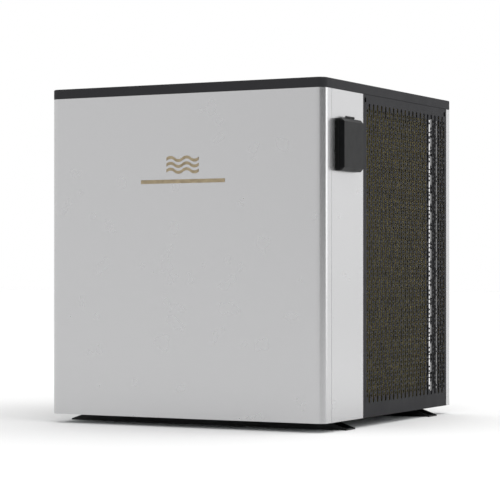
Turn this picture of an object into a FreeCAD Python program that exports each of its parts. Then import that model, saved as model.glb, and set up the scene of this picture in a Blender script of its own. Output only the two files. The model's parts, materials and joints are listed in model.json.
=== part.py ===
import FreeCAD, Part
import math
import os
from FreeCAD import Vector

# Heat pump unit for a pool or spa: a box-shaped casing on two foot rails, with a
# vertical-discharge fan in the lid and a C-shaped air coil behind three perforated sides.
# Units are millimetres. +Z is up, the front is -Y, and the controller is on the +X side.
# The origin is on the floor, at the centre of the four anchor slots.

# Casing
WIDTH = 750.0
DEPTH = 760.0
FOOT_HEIGHT = 22.0
PANEL_HEIGHT = 777.0
LID_HEIGHT = 23.0
SHEET = 1.2
FRONT_RADIUS = 20.0
REAR_RADIUS = 4.0
FRONT_RETURN = 40.0
SIDE_PANEL_END = 215.0
POST_SIDE = 25.0
POST_REAR = 38.0
JOINT_GAP = 1.0
FLANGE = 12.0
PANEL_TOP_GAP = 1.0
LID_WALL = 2.5
LID_LIP = 10.0
LID_LIP_CLEARANCE = 0.5
LID_EDGE_RADIUS = 3.0
SMALLEST_RADIUS = 1.0
CUT_MARGIN = 1.0
TOLERANCE = 0.01
HEX_SIDES = 6

# Base and foot rails
TRAY_FLOOR = 2.0
TRAY_RIM = 20.0
TRAY_CLEARANCE = 0.3
RAIL_LENGTH = 764.0
RAIL_WIDTH = 50.0
RAIL_SHEET = 3.0
RAIL_SLOPE_RUN = 56.0
RAIL_LIP = 16.0
ANCHOR_SPACING_X = 712.0
ANCHOR_SPACING_Y = 500.0
ANCHOR_SLOT_WIDTH = 10.0
ANCHOR_SLOT_LENGTH = 22.0
RAIL_BOLT_X = 120.0
RAIL_BOLT_RADIUS = 3.0
RAIL_BOLT_HEAD_RADIUS = 5.8
RAIL_BOLT_HEAD_HEIGHT = 4.0
RAIL_BOLT_TAIL = 4.0

# Perforated panels
SLOT_WIDTH = 8.5
SLOT_PITCH = 12.0
LONG_SLOT = 35.5
SHORT_SLOT = 8.5
SLOT_LAND = 2.5
SLOT_ROWS = 15
SLOT_BOTTOM = 34.0
SIDE_FIRST_COLUMN = 23.5
SIDE_COLUMNS = 41
REAR_MARGIN = 13.0
HOOK_WIDTH = 10.0
HOOK_HEIGHT = 12.0
HOOK_TOP = 7.0
HOOK_INSET = 12.0

# Air coil
COIL_GAP = 20.0
COIL_THICKNESS = 44.0
COIL_OUTER_RADIUS = 110.0
COIL_FRONT_FACE = 15.0
COIL_TOP_GAP = 15.0
END_PLATE = 2.0
END_PLATE_MARGIN = 2.0
COIL_CLIP = 200.0
TUBE_RADIUS = 4.8
TUBE_PITCH = 25.0
TUBE_ROW_PITCH = 22.0
CIRCUITS = 6
LEVELS_PER_CIRCUIT = 5
HEADER_RADIUS = 11.0
HEADER_OFFSET = 44.0
HEADER_FOOT_GAP = 6.0
HEADER_RISE = 22.0

# Fan
FAN_CENTRE_Y = 80.0
FAN_RADIUS = 220.0
FAN_TIP_GAP = 8.0
FAN_BLADES = 5
BLADE_THICKNESS = 3.0
BLADE_ROOT_CHORD = 70.0
BLADE_TIP_CHORD = 170.0
BLADE_ROOT_PITCH = 40.0
BLADE_TIP_PITCH = 18.0
BLADE_EDGE = 0.8
BLADE_CAMBER = 0.06
BLADE_OVERRUN = 20.0
BLADE_HEADROOM = 60.0
FAN_PLANE_DROP = 48.0
HUB_RADIUS = 60.0
HUB_HEIGHT = 50.0
HUB_WALL = 4.0
HUB_CHAMFER = 6.0
BOSS_RADIUS = 14.0
SHAFT_RADIUS = 6.0
SHAFT_RUNNING_GAP = 0.05
SHAFT_END_GAP = 1.0
SHAFT_THREAD = 9.0
FAN_NUT_RADIUS = 11.0
FAN_NUT_HEIGHT = 7.0
ORIFICE_HEIGHT = 80.0
ORIFICE_SHEET = 1.5
ORIFICE_FLANGE = 22.0
BRACKET_SHEET = 3.0
BRACKET_ARM = 24.0
BRACKET_DROP = 9.0
BRACKET_TAB = 35.0
BRACKET_ARMS = 4
BRACKET_FIRST_ARM = 45.0
BRACKET_PLATE_MARGIN = 2.0
MOTOR_RADIUS = 52.0
MOTOR_HEIGHT = 90.0
MOTOR_FLANGE_RADIUS = 60.0
MOTOR_FLANGE = 5.0
MOTOR_EDGE_RADIUS = 10.0
MOTOR_RIBS = 16
MOTOR_RIB_THICKNESS = 3.0
MOTOR_RIB_RISE = 4.0
MOTOR_RIB_SINK = 2.0
MOTOR_RIB_START = 15.0
GUARD_RADIUS = 240.0
GUARD_PITCH = 16.0
GUARD_WIRE = 1.75
GUARD_RISE = 8.0
GUARD_SPOKES = 8
GUARD_DISC_RADIUS = 40.0
GUARD_DISC_THICKNESS = 3.0
GUARD_LEG_RADIUS = 3.0
GUARD_WELD_RUN = 8.0
GUARD_RING_DROP = 1.6 * GUARD_WIRE
GUARD_FIRST_SPOKE = 22.5

# Machine compartment
PARTITION_Y = -DEPTH / 2 + SIDE_PANEL_END
COMPRESSOR_X = 140.0
COMPRESSOR_Y = -270.0
COMPRESSOR_RADIUS = 72.0
COMPRESSOR_HEIGHT = 310.0
COMPRESSOR_DOME = 30.0
COMPRESSOR_SKIRT_INSET = 10.0
TERMINAL_RADIUS = 17.0
TERMINAL_HEIGHT = 26.0
TERMINAL_EDGE_RADIUS = 4.0
MOUNT_CIRCLE = 88.0
MOUNT_ANGLES = [0, 120, 240]
MOUNT_HEIGHT = 28.0
MOUNT_RADIUS = 12.0
MOUNT_GROOVE = 3.0
MOUNT_GROOVE_LOW = 10.0
MOUNT_GROOVE_HIGH = 18.0
MOUNT_STUD = 4.0
MOUNT_STUD_RISE = 12.0
MOUNT_NUT_RADIUS = 7.5
MOUNT_NUT_HEIGHT = 6.5
BASE_PLATE = 3.0
ACCUMULATOR_RADIUS = 34.0
ACCUMULATOR_GAP = 12.0
ACCUMULATOR_HEIGHT = 200.0
ACCUMULATOR_DOME = 20.0
ACCUMULATOR_BOTTOM = 130.0
VALVE_X = 200.0
VALVE_Y = -215.0
VALVE_Z = 441.0
VALVE_RADIUS = 13.0
VALVE_LENGTH = 104.0
VALVE_STUB_SPACING = 30.0
VALVE_STUB = 16.0
VALVE_STUB_WALL = 1.5
VALVE_EDGE_RADIUS = 5.0
PILOT_RADIUS = 5.0
PILOT_LENGTH = 60.0
PILOT_OFFSET = 4.0
DISCHARGE_LOOP = 31.0
SUCTION_DROP = 27.0
SUCTION_ELBOW_DROP = 25.0
SUCTION_ELBOW_BEND = 20.0
GAS_JOG_START = -80.0
GAS_JOG_END = -110.0
HEADER_BRANCH_DROP = 53.0
LIQUID_DROP_X = -130.0
LIQUID_JOG_START = 35.0
LIQUID_JOG_END = 65.0
LIQUID_FRONT_GAP = 16.0
LIQUID_LOW_RISE = 21.0
DRIER_X = -100.0
DRIER_Y = -330.0
DRIER_RADIUS = 13.0
DRIER_LENGTH = 90.0
DRIER_NECK = 5.0
DRIER_NECK_WALL = 1.2
DRIER_EDGE_RADIUS = 6.0
GAS_PIPE_RADIUS = 6.5
DISCHARGE_PIPE_RADIUS = 5.0
LIQUID_PIPE_RADIUS = 4.8
CAPILLARY_RADIUS = 2.2
CAPILLARY_BEND = 12.0
CAPILLARY_STUB = 10.0
CAPILLARY_CIRCLE = 8.0
CAPILLARY_ANGLES = [90, 30, 150, 330, 210, 270]
PIPE_BEND = 14.0
STRAIGHT_ANGLE = 0.001
DISTRIBUTOR_OFFSET = 67.0
DISTRIBUTOR_BOTTOM = 70.0
DISTRIBUTOR_HEIGHT = 40.0
DISTRIBUTOR_NECK = 6.0
DISTRIBUTOR_RADIUS = 13.0
DISTRIBUTOR_RIM = 10.0
EXPANSION_X_OFFSET = 14.0
EXPANSION_Y_OFFSET = 30.0
EXPANSION_BOTTOM = 140.0
EXPANSION_BODY_RADIUS = 10.0
EXPANSION_BODY_HEIGHT = 30.0
EXPANSION_INLET_RISE = 15.0
EXPANSION_COIL_RADIUS = 17.0
EXPANSION_COIL_HEIGHT = 28.0
EXPANSION_CAP_RADIUS = 7.0
EXPANSION_CAP_HEIGHT = 10.0

# Water heat exchanger
EXCHANGER_X = -250.0
EXCHANGER_Y = -248.0
EXCHANGER_RADIUS = 70.0
EXCHANGER_WALL = 4.0
EXCHANGER_HEIGHT = 440.0
CAP_RADIUS = 78.0
CAP_HEIGHT = 46.0
CAP_SOCKET = 30.0
CAP_CHAMFER = 4.0
CAP_FOOT_HEIGHT = 6.0
COIL_TUBE_RADIUS = 6.0
COIL_TUBE_GAP = 10.0
COIL_TUBE_TURNS = 10
COIL_STUB_WALL = 1.5
COIL_STUB_REACH = 8.0
COIL_STUB_GAP = 0.5
LIQUID_PORT_Z = 110.0
GAS_PORT_Z = 400.0
WATER_PORT_LOW = 100.0
WATER_PORT_SPACING = 320.0
WATER_PIPE_RADIUS = 25.0
WATER_BORE_RADIUS = 22.0
PIPE_SOCKET_RADIUS = 25.15
PIPE_SOCKET_DEPTH = 30.0
PIPE_HOLE_GAP = 1.0
UNION_COLLAR = 12.0
UNION_SEAL = 2.5
UNION_SEAL_OUTER = 28.0
UNION_SEAL_INNER = 24.0
UNION_TAIL_FLANGE = 4.0
UNION_NUT_LIP = 6.0
UNION_NUT_GAP = 3.0
UNION_BARREL_RADIUS = 29.0
UNION_FLANGE_RADIUS = 31.5
UNION_NUT_RADIUS = 38.0
UNION_NUT_SIDES = 8
UNION_REACH = 50.0
SWITCH_SINK = 1.0
SWITCH_STEM_RADIUS = 7.0
SWITCH_STEM_HEIGHT = 20.0
SWITCH_CAP_RADIUS = 12.0
SWITCH_CAP_FOOT = 14.0
SWITCH_CAP_HEIGHT = 26.0

# Electrical box
BOX_LEFT = -110.0
BOX_RIGHT = 300.0
BOX_BACK_Y = -232.0
BOX_FRONT_Y = -360.0
BOX_BOTTOM = 510.0
BOX_TOP = 785.0
BOX_SHEET = 1.5
BOX_COVER_DROP = 5.0
BOX_COVER_HEM = 10.0
BOARD_LEFT = 20.0
BOARD_WIDTH = 230.0
BOARD_FOOT = 25.0
BOARD_HEAD = 20.0
BOARD_THICKNESS = 1.6
BOARD_STANDOFF = 10.0
BOARD_POST_RADIUS = 3.0
BOARD_POST_INSET = 8.0
CAPACITORS = 3
CAPACITOR_X = 60.0
CAPACITOR_PITCH = 36.0
CAPACITOR_DROP = 55.0
CAPACITOR_RADIUS = 15.0
CAPACITOR_HEIGHT = 42.0
CAPACITOR_EDGE_RADIUS = 2.0
REACTOR_X = 180.0
REACTOR_SIZE = 55.0
REACTOR_DEPTH = 45.0
REACTOR_DROP = 90.0
RELAYS = 5
RELAY_X = 35.0
RELAY_PITCH = 24.0
RELAY_WIDTH = 16.0
RELAY_HEIGHT = 22.0
RELAY_DEPTH = 18.0
RELAY_RISE = 90.0
SOCKET_WIDTH = 18.0
SOCKET_HEIGHT = 8.0
SOCKET_DEPTH = 9.0
SOCKET_RISE = 35.0
SINK_LEFT = 50.0
SINK_WIDTH = 140.0
SINK_RISE = 60.0
SINK_HEIGHT = 130.0
SINK_PLATE = 6.0
SINK_DEPTH = 40.0
SINK_FINS = 12
SINK_FIN = 2.0
TERMINALS = 6
TERMINAL_BLOCK_INSET = 130.0
TERMINAL_BLOCK_WIDTH = 110.0
TERMINAL_BLOCK_DEPTH = 22.0
TERMINAL_BLOCK_RISE = 40.0
TERMINAL_BLOCK_HEIGHT = 30.0
TERMINAL_FIRST = 10.0
TERMINAL_PITCH = 18.0
TERMINAL_SCREW_RADIUS = 4.5
TERMINAL_SCREW_DEPTH = 8.0
TERMINAL_WIRE_WIDTH = 8.0
TERMINAL_WIRE_DEPTH = 12.0
GLAND_Y = -215.0
GLAND_Z = 560.0
GLAND_THREAD_RADIUS = 10.0
GLAND_HEX_RADIUS = 14.0
GLAND_BORE_RADIUS = 5.0
GLAND_REACH = 24.0
GLAND_HEX_LENGTH = 8.0
GLAND_DOME_WALL = 1.5
GLAND_DOME_EDGE = 3.0
GLAND_THREAD_LENGTH = 12.0
GLAND_NUT_LENGTH = 5.0
SPIGOT_X = -200.0
SPIGOT_Y = 150.0
SPIGOT_RADIUS = 9.0
SPIGOT_BORE = 6.5
SPIGOT_FLANGE = 3.0
SPIGOT_FLANGE_RIM = 5.0
SPIGOT_LIP = 0.8
SPIGOT_LIP_HEIGHT = 1.5
SPIGOT_FLOOR_GAP = 4.0

# Controller box on the right side
CONTROL_WIDTH = 120.0
CONTROL_HEIGHT = 123.0
CONTROL_FRONT = 57.7
CONTROL_BOTTOM = 586.0
CONTROL_BASE = 10.0
CONTROL_COVER = 10.7
CONTROL_WALL = 2.5
CONTROL_BEVEL = 8.0
CONTROL_CORNER = 8.0
CONTROL_CABLE_RADIUS = 6.0
COVER_CHAMFER = 7.76
DISPLAY_HALF_WIDTH = 34.0
DISPLAY_DROP = 8.0
DISPLAY_RISE = 34.0
DISPLAY_DEPTH = 1.5
DISPLAY_PROUD = 0.3
COVER_GAP = 0.3
HINGE_BARREL = 2.8
HINGE_PIN = 1.5
HINGE_RUNNING_GAP = 0.05
HINGE_RISE = 3.2
KNUCKLE_LENGTH = 14.0
KNUCKLES = 3
KNUCKLE_GAP = 0.4
KNUCKLE_WEB = 2.0
MODULE_THICKNESS = 6.5
MODULE_GAP = 0.4
BUTTON_RADIUS = 5.0
BUTTON_GAP = 0.4
BUTTON_DEPTH = 4.0
BUTTON_PROUD = 1.0
BUTTON_EDGE_RADIUS = 0.8
BUTTON_WELL = 4.0
BUTTON_Z_OFFSET = -32.0
BUTTON_SPACING = 20.0
BUTTON_NAMES = ["button_power", "button_mode", "button_down", "button_up"]

# Badge on the front panel
BADGE_Z = 606.0
BADGE_WIDTH = 88.0
BADGE_THICKNESS = 1.0
WAVE_BAND = 7.0
WAVE_RISE = 4.0
WAVE_PITCH = 14.0
WAVE_ARCS = 4
BADGE_BAR_DROP = 44.0
BADGE_BAR_WIDTH = 230.0
BADGE_BAR_HEIGHT = 9.0

# Fasteners
SCREW_RADIUS = 2.0
SCREW_HEAD_RADIUS = 4.2
SCREW_HEAD_HEIGHT = 2.2
SCREW_LENGTH = 9.0
SCREW_HOLE_GAP = 0.2
POST_SCREW_INSET = 40.0
GRILLE_SCREW_INSET = 12.0
GRILLE_SCREW_SIDE = 14.0
PANEL_SCREW_SIDE = 12.0
PANEL_SCREW_INSET = 30.0

# Derived planes
HALF_WIDTH = WIDTH / 2
HALF_DEPTH = DEPTH / 2
PANEL_BOTTOM = FOOT_HEIGHT
LID_BOTTOM = PANEL_BOTTOM + PANEL_HEIGHT
LID_TOP = LID_BOTTOM + LID_HEIGHT
PANEL_TOP = LID_BOTTOM - PANEL_TOP_GAP
TRAY_TOP = PANEL_BOTTOM + TRAY_FLOOR
SEAM_Y = -HALF_DEPTH + FRONT_RETURN
POST_Y = HALF_DEPTH - POST_SIDE
POST_X = HALF_WIDTH - POST_REAR
SLOT_PERIOD = LONG_SLOT + SHORT_SLOT + 2 * SLOT_LAND
COIL_X = HALF_WIDTH - COIL_GAP
COIL_Y = HALF_DEPTH - COIL_GAP
COIL_INNER_X = COIL_X - COIL_THICKNESS
COIL_INNER_Y = COIL_Y - COIL_THICKNESS
COIL_START_Y = PARTITION_Y + COIL_FRONT_FACE
COIL_BOTTOM = TRAY_TOP
COIL_TOP = LID_BOTTOM - COIL_TOP_GAP
COIL_LEVELS = CIRCUITS * LEVELS_PER_CIRCUIT
FIRST_LEVEL = (COIL_BOTTOM + COIL_TOP - (COIL_LEVELS - 1) * TUBE_PITCH) / 2
INNER_ROW_X = COIL_INNER_X + (COIL_THICKNESS - TUBE_ROW_PITCH) / 2
OUTER_ROW_X = INNER_ROW_X + TUBE_ROW_PITCH
END_PLATE_Y = COIL_START_Y - END_PLATE
HEADER_Y = END_PLATE_Y - HEADER_OFFSET
LID_SKIN = LID_TOP - LID_WALL
THROAT_RADIUS = FAN_RADIUS + FAN_TIP_GAP
ORIFICE_BOTTOM = LID_SKIN - ORIFICE_HEIGHT
BRACKET_TOP = ORIFICE_BOTTOM - BRACKET_DROP + BRACKET_SHEET
BRACKET_BOTTOM = BRACKET_TOP - BRACKET_SHEET
FAN_Z = LID_TOP - FAN_PLANE_DROP
HUB_TOP = FAN_Z + HUB_HEIGHT / 2
COMPRESSOR_BASE = TRAY_TOP + MOUNT_HEIGHT
COMPRESSOR_BOTTOM = COMPRESSOR_BASE + BASE_PLATE
COMPRESSOR_TOP = COMPRESSOR_BOTTOM + COMPRESSOR_HEIGHT
ACCUMULATOR_X = COMPRESSOR_X + COMPRESSOR_RADIUS + ACCUMULATOR_GAP + ACCUMULATOR_RADIUS
ACCUMULATOR_TOP = ACCUMULATOR_BOTTOM + ACCUMULATOR_HEIGHT
WATER_PORTS = [WATER_PORT_LOW, WATER_PORT_LOW + WATER_PORT_SPACING]
CONTROL_Y = -HALF_DEPTH + CONTROL_FRONT + CONTROL_WIDTH / 2
CONTROL_Z = PANEL_BOTTOM + CONTROL_BOTTOM + CONTROL_HEIGHT / 2
COVER_X = HALF_WIDTH + CONTROL_BASE + COVER_GAP
HINGE_X = HALF_WIDTH + CONTROL_BASE + COVER_GAP / 2
HINGE_Z = CONTROL_Z + CONTROL_HEIGHT / 2 + HINGE_RISE
MODULE_X = HALF_WIDTH + CONTROL_WALL
MODULE_FACE = MODULE_X + MODULE_THICKNESS
DISTRIBUTOR_Y = PARTITION_Y - DISTRIBUTOR_OFFSET
DISTRIBUTOR_TOP = DISTRIBUTOR_BOTTOM + DISTRIBUTOR_HEIGHT
EXPANSION_X = OUTER_ROW_X - EXPANSION_X_OFFSET
EXPANSION_Y = COMPRESSOR_Y - EXPANSION_Y_OFFSET
PORT_END_X = EXCHANGER_X + EXCHANGER_RADIUS + COIL_STUB_REACH
COIL_STUB_RADIUS = COIL_TUBE_RADIUS + COIL_STUB_WALL
COIL_TUBE_REACH = EXCHANGER_RADIUS - EXCHANGER_WALL - COIL_TUBE_GAP
COIL_TUBE_CIRCLE = COIL_TUBE_REACH - COIL_TUBE_RADIUS
COLLAR_X = -HALF_WIDTH - PIPE_HOLE_GAP - UNION_COLLAR
BOARD_Y = BOX_BACK_Y - BOX_SHEET - BOARD_STANDOFF


def box(x0, x1, y0, y1, z0, z1):
    return Part.makeBox(x1 - x0, y1 - y0, z1 - z0, Vector(x0, y0, z0))


def rod(start, direction, radius, length):
    return Part.makeCylinder(radius, length, Vector(*start), Vector(*direction))


def tube(start, direction, outer, inner, length):
    return rod(start, direction, outer, length).cut(rod(start, direction, inner, length))


def turned(centre_x, centre_y, outline):
    """Solid of revolution about a vertical axis from (radius, z) points."""
    points = [Vector(centre_x + radius, centre_y, z) for radius, z in outline]
    face = Part.Face(Part.makePolygon(points + [points[0]]))
    return face.revolve(Vector(centre_x, centre_y, 0), Vector(0, 0, 1), 360)


def prism(points, height):
    """Upright prism on a closed outline of (x, y) points at the height z of its foot."""
    face = Part.Face(Part.makePolygon(points + [points[0]]))
    return face.extrude(Vector(0, 0, height))


def polygon_rod(start, direction, radius, length, sides):
    """Regular prism across corners of the given radius, along X, Y or Z."""
    turn = FreeCAD.Rotation(Vector(0, 0, 1), Vector(*direction))
    corners = [2 * math.pi * index / sides for index in range(sides)]
    points = [Vector(radius * math.cos(a), radius * math.sin(a), 0) for a in corners]
    solid = prism(points, length)
    solid.Placement = FreeCAD.Placement(Vector(*start), turn)
    return solid


def mirror_x(shape):
    return shape.mirror(Vector(0, 0, 0), Vector(1, 0, 0))


def joined(shapes):
    return shapes[0].multiFuse(shapes[1:]).removeSplitter()


def write(name, shapes):
    """Write one node; a list becomes a group of separate solids."""
    group = shapes if isinstance(shapes, list) else [shapes]
    shape = group[0] if len(group) == 1 else Part.makeCompound(group)
    shape.exportStep("parts/" + name + ".step")


def rounded_plan(half_x, front_y, rear_y, front_radius, rear_radius, z):
    """Closed plan outline, rounded at its two front and two rear corners."""
    edges = []
    bend = 1 - math.sqrt(0.5)
    corners = [
        (half_x, front_y, -1, 1, front_radius),
        (half_x, rear_y, -1, -1, rear_radius),
        (-half_x, rear_y, 1, -1, rear_radius),
        (-half_x, front_y, 1, 1, front_radius),
    ]
    points = []
    for index, (x, y, side_x, side_y, radius) in enumerate(corners):
        along_x = Vector(x + side_x * radius, y, z)
        along_y = Vector(x, y + side_y * radius, z)
        middle = Vector(x + side_x * radius * bend, y + side_y * radius * bend, z)
        first, last = (along_x, along_y) if index % 2 == 0 else (along_y, along_x)
        points.append((first, middle, last))
    for index, (first, middle, last) in enumerate(points):
        edges.append(Part.Arc(first, middle, last).toShape())
        edges.append(Part.makeLine(last, points[(index + 1) % len(points)][0]))
    return Part.Wire(edges)


def plan_slab(inset, z0, z1):
    """Slab of the casing's plan, drawn in by the inset, between two heights."""
    front = max(FRONT_RADIUS - inset, SMALLEST_RADIUS)
    rear = max(REAR_RADIUS - inset, SMALLEST_RADIUS)
    half_x = HALF_WIDTH - inset
    half_y = HALF_DEPTH - inset
    outline = rounded_plan(half_x, -half_y, half_y, front, rear, z0)
    return Part.Face(outline).extrude(Vector(0, 0, z1 - z0))


def pipe(points, radius, bend=PIPE_BEND):
    """Round bar along straight runs joined by tangent arcs."""
    path = [Vector(*point) for point in points]
    edges = []
    start = path[0]
    for before, corner, after in zip(path, path[1:], path[2:]):
        arrive = (corner - before).normalize()
        leave = (after - corner).normalize()
        turn = arrive.getAngle(leave)
        if turn < STRAIGHT_ANGLE:
            continue
        reach = bend * math.tan(turn / 2)
        entry = corner - arrive * reach
        exit_point = corner + leave * reach
        inward = (leave - arrive).normalize()
        middle = corner + inward * (bend / math.cos(turn / 2) - bend)
        edges.append(Part.makeLine(start, entry))
        edges.append(Part.Arc(entry, middle, exit_point).toShape())
        start = exit_point
    edges.append(Part.makeLine(start, path[-1]))
    wire = Part.Wire(edges)
    circle = Part.Wire([Part.makeCircle(radius, path[0], path[1] - path[0])])
    return wire.makePipeShell([circle], True, False)


def screw(point, normal):
    """Pan-head screw with its head on the surface at the point."""
    head = rod(point, normal, SCREW_HEAD_RADIUS, SCREW_HEAD_HEIGHT)
    inward = [-value for value in normal]
    return head.fuse(rod(point, inward, SCREW_RADIUS, SCREW_LENGTH))


def screw_hole(point, normal):
    """Clearance hole for a screw, started a little outside the surface."""
    start = [position + CUT_MARGIN * value for position, value in zip(point, normal)]
    inward = [-value for value in normal]
    length = CUT_MARGIN + SCREW_LENGTH + SCREW_HOLE_GAP
    return rod(start, inward, SCREW_RADIUS + SCREW_HOLE_GAP, length)


def rear_post_screws():
    middle = (PANEL_BOTTOM + PANEL_TOP) / 2
    heights = [PANEL_BOTTOM + POST_SCREW_INSET, middle, PANEL_TOP - POST_SCREW_INSET]
    x = HALF_WIDTH - POST_REAR / 2
    return [((side * x, HALF_DEPTH, z), (0, 1, 0)) for side in (-1, 1) for z in heights]


def rear_grille_screws():
    heights = [PANEL_BOTTOM + GRILLE_SCREW_INSET, PANEL_TOP - GRILLE_SCREW_INSET]
    x = POST_X - GRILLE_SCREW_SIDE
    return [((side * x, HALF_DEPTH, z), (0, 1, 0)) for side in (-1, 1) for z in heights]


def left_panel_screws():
    y_values = [SEAM_Y + PANEL_SCREW_SIDE, PARTITION_Y - PANEL_SCREW_SIDE]
    heights = [PANEL_BOTTOM + PANEL_SCREW_INSET, PANEL_TOP - PANEL_SCREW_INSET]
    return [((-HALF_WIDTH, y, z), (-1, 0, 0)) for y in y_values for z in heights]


def pierced(panel, screws):
    for point, normal in screws:
        panel = panel.cut(screw_hole(point, normal))
    return panel


def casing_screws():
    places = rear_post_screws() + rear_grille_screws() + left_panel_screws()
    return [screw(point, normal) for point, normal in places]


def base_tray():
    inset = SHEET + TRAY_CLEARANCE
    tray = plan_slab(inset, PANEL_BOTTOM, PANEL_BOTTOM + TRAY_RIM)
    tray = tray.cut(plan_slab(inset + TRAY_FLOOR, TRAY_TOP, PANEL_BOTTOM + TRAY_RIM))
    tray = tray.cut(rod((SPIGOT_X, SPIGOT_Y, PANEL_BOTTOM), (0, 0, 1), SPIGOT_RADIUS, TRAY_FLOOR))
    for x, y in rail_bolt_places():
        hole = rod((x, y, PANEL_BOTTOM), (0, 0, 1), RAIL_BOLT_RADIUS + SCREW_HOLE_GAP, TRAY_FLOOR)
        tray = tray.cut(hole)
    for x, y in mount_places():
        tray = tray.cut(rod((x, y, PANEL_BOTTOM), (0, 0, 1), MOUNT_STUD, TRAY_FLOOR))
    return pierced(tray, rear_grille_screws())


def rail_bolt_places():
    offset = RAIL_WIDTH / 2 - RAIL_SHEET - RAIL_LIP / 2
    half = ANCHOR_SPACING_Y / 2
    rows = [centre + side * offset for centre in (-half, half) for side in (-1, 1)]
    return [(x, y) for x in (-RAIL_BOLT_X, RAIL_BOLT_X) for y in rows]


def anchor_slot(x, y):
    straight = ANCHOR_SLOT_LENGTH - ANCHOR_SLOT_WIDTH
    radius = ANCHOR_SLOT_WIDTH / 2
    slot = box(x - straight / 2, x + straight / 2, y - radius, y + radius, 0, RAIL_SHEET)
    for side in (-1, 1):
        slot = slot.fuse(rod((x + side * straight / 2, y, 0), (0, 0, 1), radius, RAIL_SHEET))
    return slot


def foot_rail(centre_y):
    """Lipped channel, open upwards, whose cheeks slope down to the floor at both ends."""
    half = RAIL_LENGTH / 2
    top = half - RAIL_SLOPE_RUN
    y0 = centre_y - RAIL_WIDTH / 2
    y1 = centre_y + RAIL_WIDTH / 2
    in0 = y0 + RAIL_SHEET
    in1 = y1 - RAIL_SHEET
    lip_z = FOOT_HEIGHT - RAIL_SHEET
    profile = [(-half, 0), (half, 0), (half, RAIL_SHEET), (top, FOOT_HEIGHT)]
    profile += [(-top, FOOT_HEIGHT), (-half, RAIL_SHEET)]
    points = [Vector(x, y0, z) for x, z in profile]
    block = Part.Face(Part.makePolygon(points + [points[0]])).extrude(Vector(0, RAIL_WIDTH, 0))
    rail = block.cut(box(-half, half, in0, in1, RAIL_SHEET, lip_z))
    rail = rail.cut(box(-half, half, in0 + RAIL_LIP, in1 - RAIL_LIP, RAIL_SHEET, FOOT_HEIGHT))
    for side in (-1, 1):
        x0, x1 = sorted((side * top, side * half))
        rail = rail.cut(box(x0, x1, in0, in1, RAIL_SHEET, FOOT_HEIGHT))
        rail = rail.cut(anchor_slot(side * ANCHOR_SPACING_X / 2, centre_y))
    for x, y in rail_bolt_places():
        rail = rail.cut(rod((x, y, lip_z), (0, 0, 1), RAIL_BOLT_RADIUS + SCREW_HOLE_GAP, RAIL_SHEET))
    return rail


def rail_bolts():
    bolts = []
    length = TRAY_FLOOR + RAIL_SHEET + RAIL_BOLT_TAIL
    for x, y in rail_bolt_places():
        head = polygon_rod((x, y, TRAY_TOP), (0, 0, 1), RAIL_BOLT_HEAD_RADIUS, RAIL_BOLT_HEAD_HEIGHT,
                           HEX_SIDES)
        bolts.append(head.fuse(rod((x, y, TRAY_TOP - length), (0, 0, 1), RAIL_BOLT_RADIUS, length)))
    return bolts


def front_panel():
    outer = plan_slab(0, PANEL_BOTTOM, PANEL_TOP)
    panel = outer.cut(plan_slab(SHEET, PANEL_BOTTOM, PANEL_TOP))
    end_y = SEAM_Y - JOINT_GAP / 2
    panel = panel.cut(box(-WIDTH, WIDTH, end_y, DEPTH, PANEL_BOTTOM, PANEL_TOP))
    flanges = []
    for side in (-1, 1):
        x0, x1 = sorted((side * (HALF_WIDTH - SHEET / 2), side * (HALF_WIDTH - FLANGE)))
        flanges.append(box(x0, x1, end_y - SHEET, end_y, PANEL_BOTTOM + TRAY_RIM, PANEL_TOP - LID_LIP))
    return joined([panel] + flanges)


def plain_side_panel():
    """Right-hand service panel, with a flange turned inwards at each upright edge."""
    y0 = SEAM_Y + JOINT_GAP / 2
    y1 = PARTITION_Y - JOINT_GAP / 2
    z0 = PANEL_BOTTOM + TRAY_RIM
    z1 = PANEL_TOP - LID_LIP
    pieces = [box(HALF_WIDTH - SHEET, HALF_WIDTH, y0, y1, PANEL_BOTTOM, PANEL_TOP)]
    pieces.append(box(HALF_WIDTH - FLANGE, HALF_WIDTH, y0, y0 + SHEET, z0, z1))
    pieces.append(box(HALF_WIDTH - FLANGE, HALF_WIDTH, y1 - SHEET, y1, z0, z1))
    return joined(pieces)


def side_panel_right():
    start = (HALF_WIDTH - SHEET, CONTROL_Y, CONTROL_Z)
    return plain_side_panel().cut(rod(start, (1, 0, 0), CONTROL_CABLE_RADIUS, SHEET))


def side_panel_left():
    panel = mirror_x(plain_side_panel())
    for z in WATER_PORTS:
        start = (-HALF_WIDTH, EXCHANGER_Y, z)
        panel = panel.cut(rod(start, (1, 0, 0), WATER_PIPE_RADIUS + PIPE_HOLE_GAP, SHEET))
    panel = panel.cut(rod((-HALF_WIDTH, GLAND_Y, GLAND_Z), (1, 0, 0), GLAND_THREAD_RADIUS, SHEET))
    return pierced(panel, left_panel_screws())


def slot_outline(x, z0, length):
    """Upright round-ended slot in the plane y = 0, centred on x, with its foot at z0."""
    radius = SLOT_WIDTH / 2
    if length <= SLOT_WIDTH:
        return Part.Wire([Part.makeCircle(radius, Vector(x, 0, z0 + length / 2), Vector(0, 1, 0))])
    low = z0 + radius
    high = z0 + length - radius
    corners = [Vector(x - radius, 0, low), Vector(x - radius, 0, high), Vector(x + radius, 0, high),
               Vector(x + radius, 0, low)]
    edges = [Part.makeLine(corners[0], corners[1])]
    edges.append(Part.Arc(corners[1], Vector(x, 0, z0 + length), corners[2]).toShape())
    edges.append(Part.makeLine(corners[2], corners[3]))
    edges.append(Part.Arc(corners[3], Vector(x, 0, z0), corners[0]).toShape())
    return Part.Wire(edges)


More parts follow.
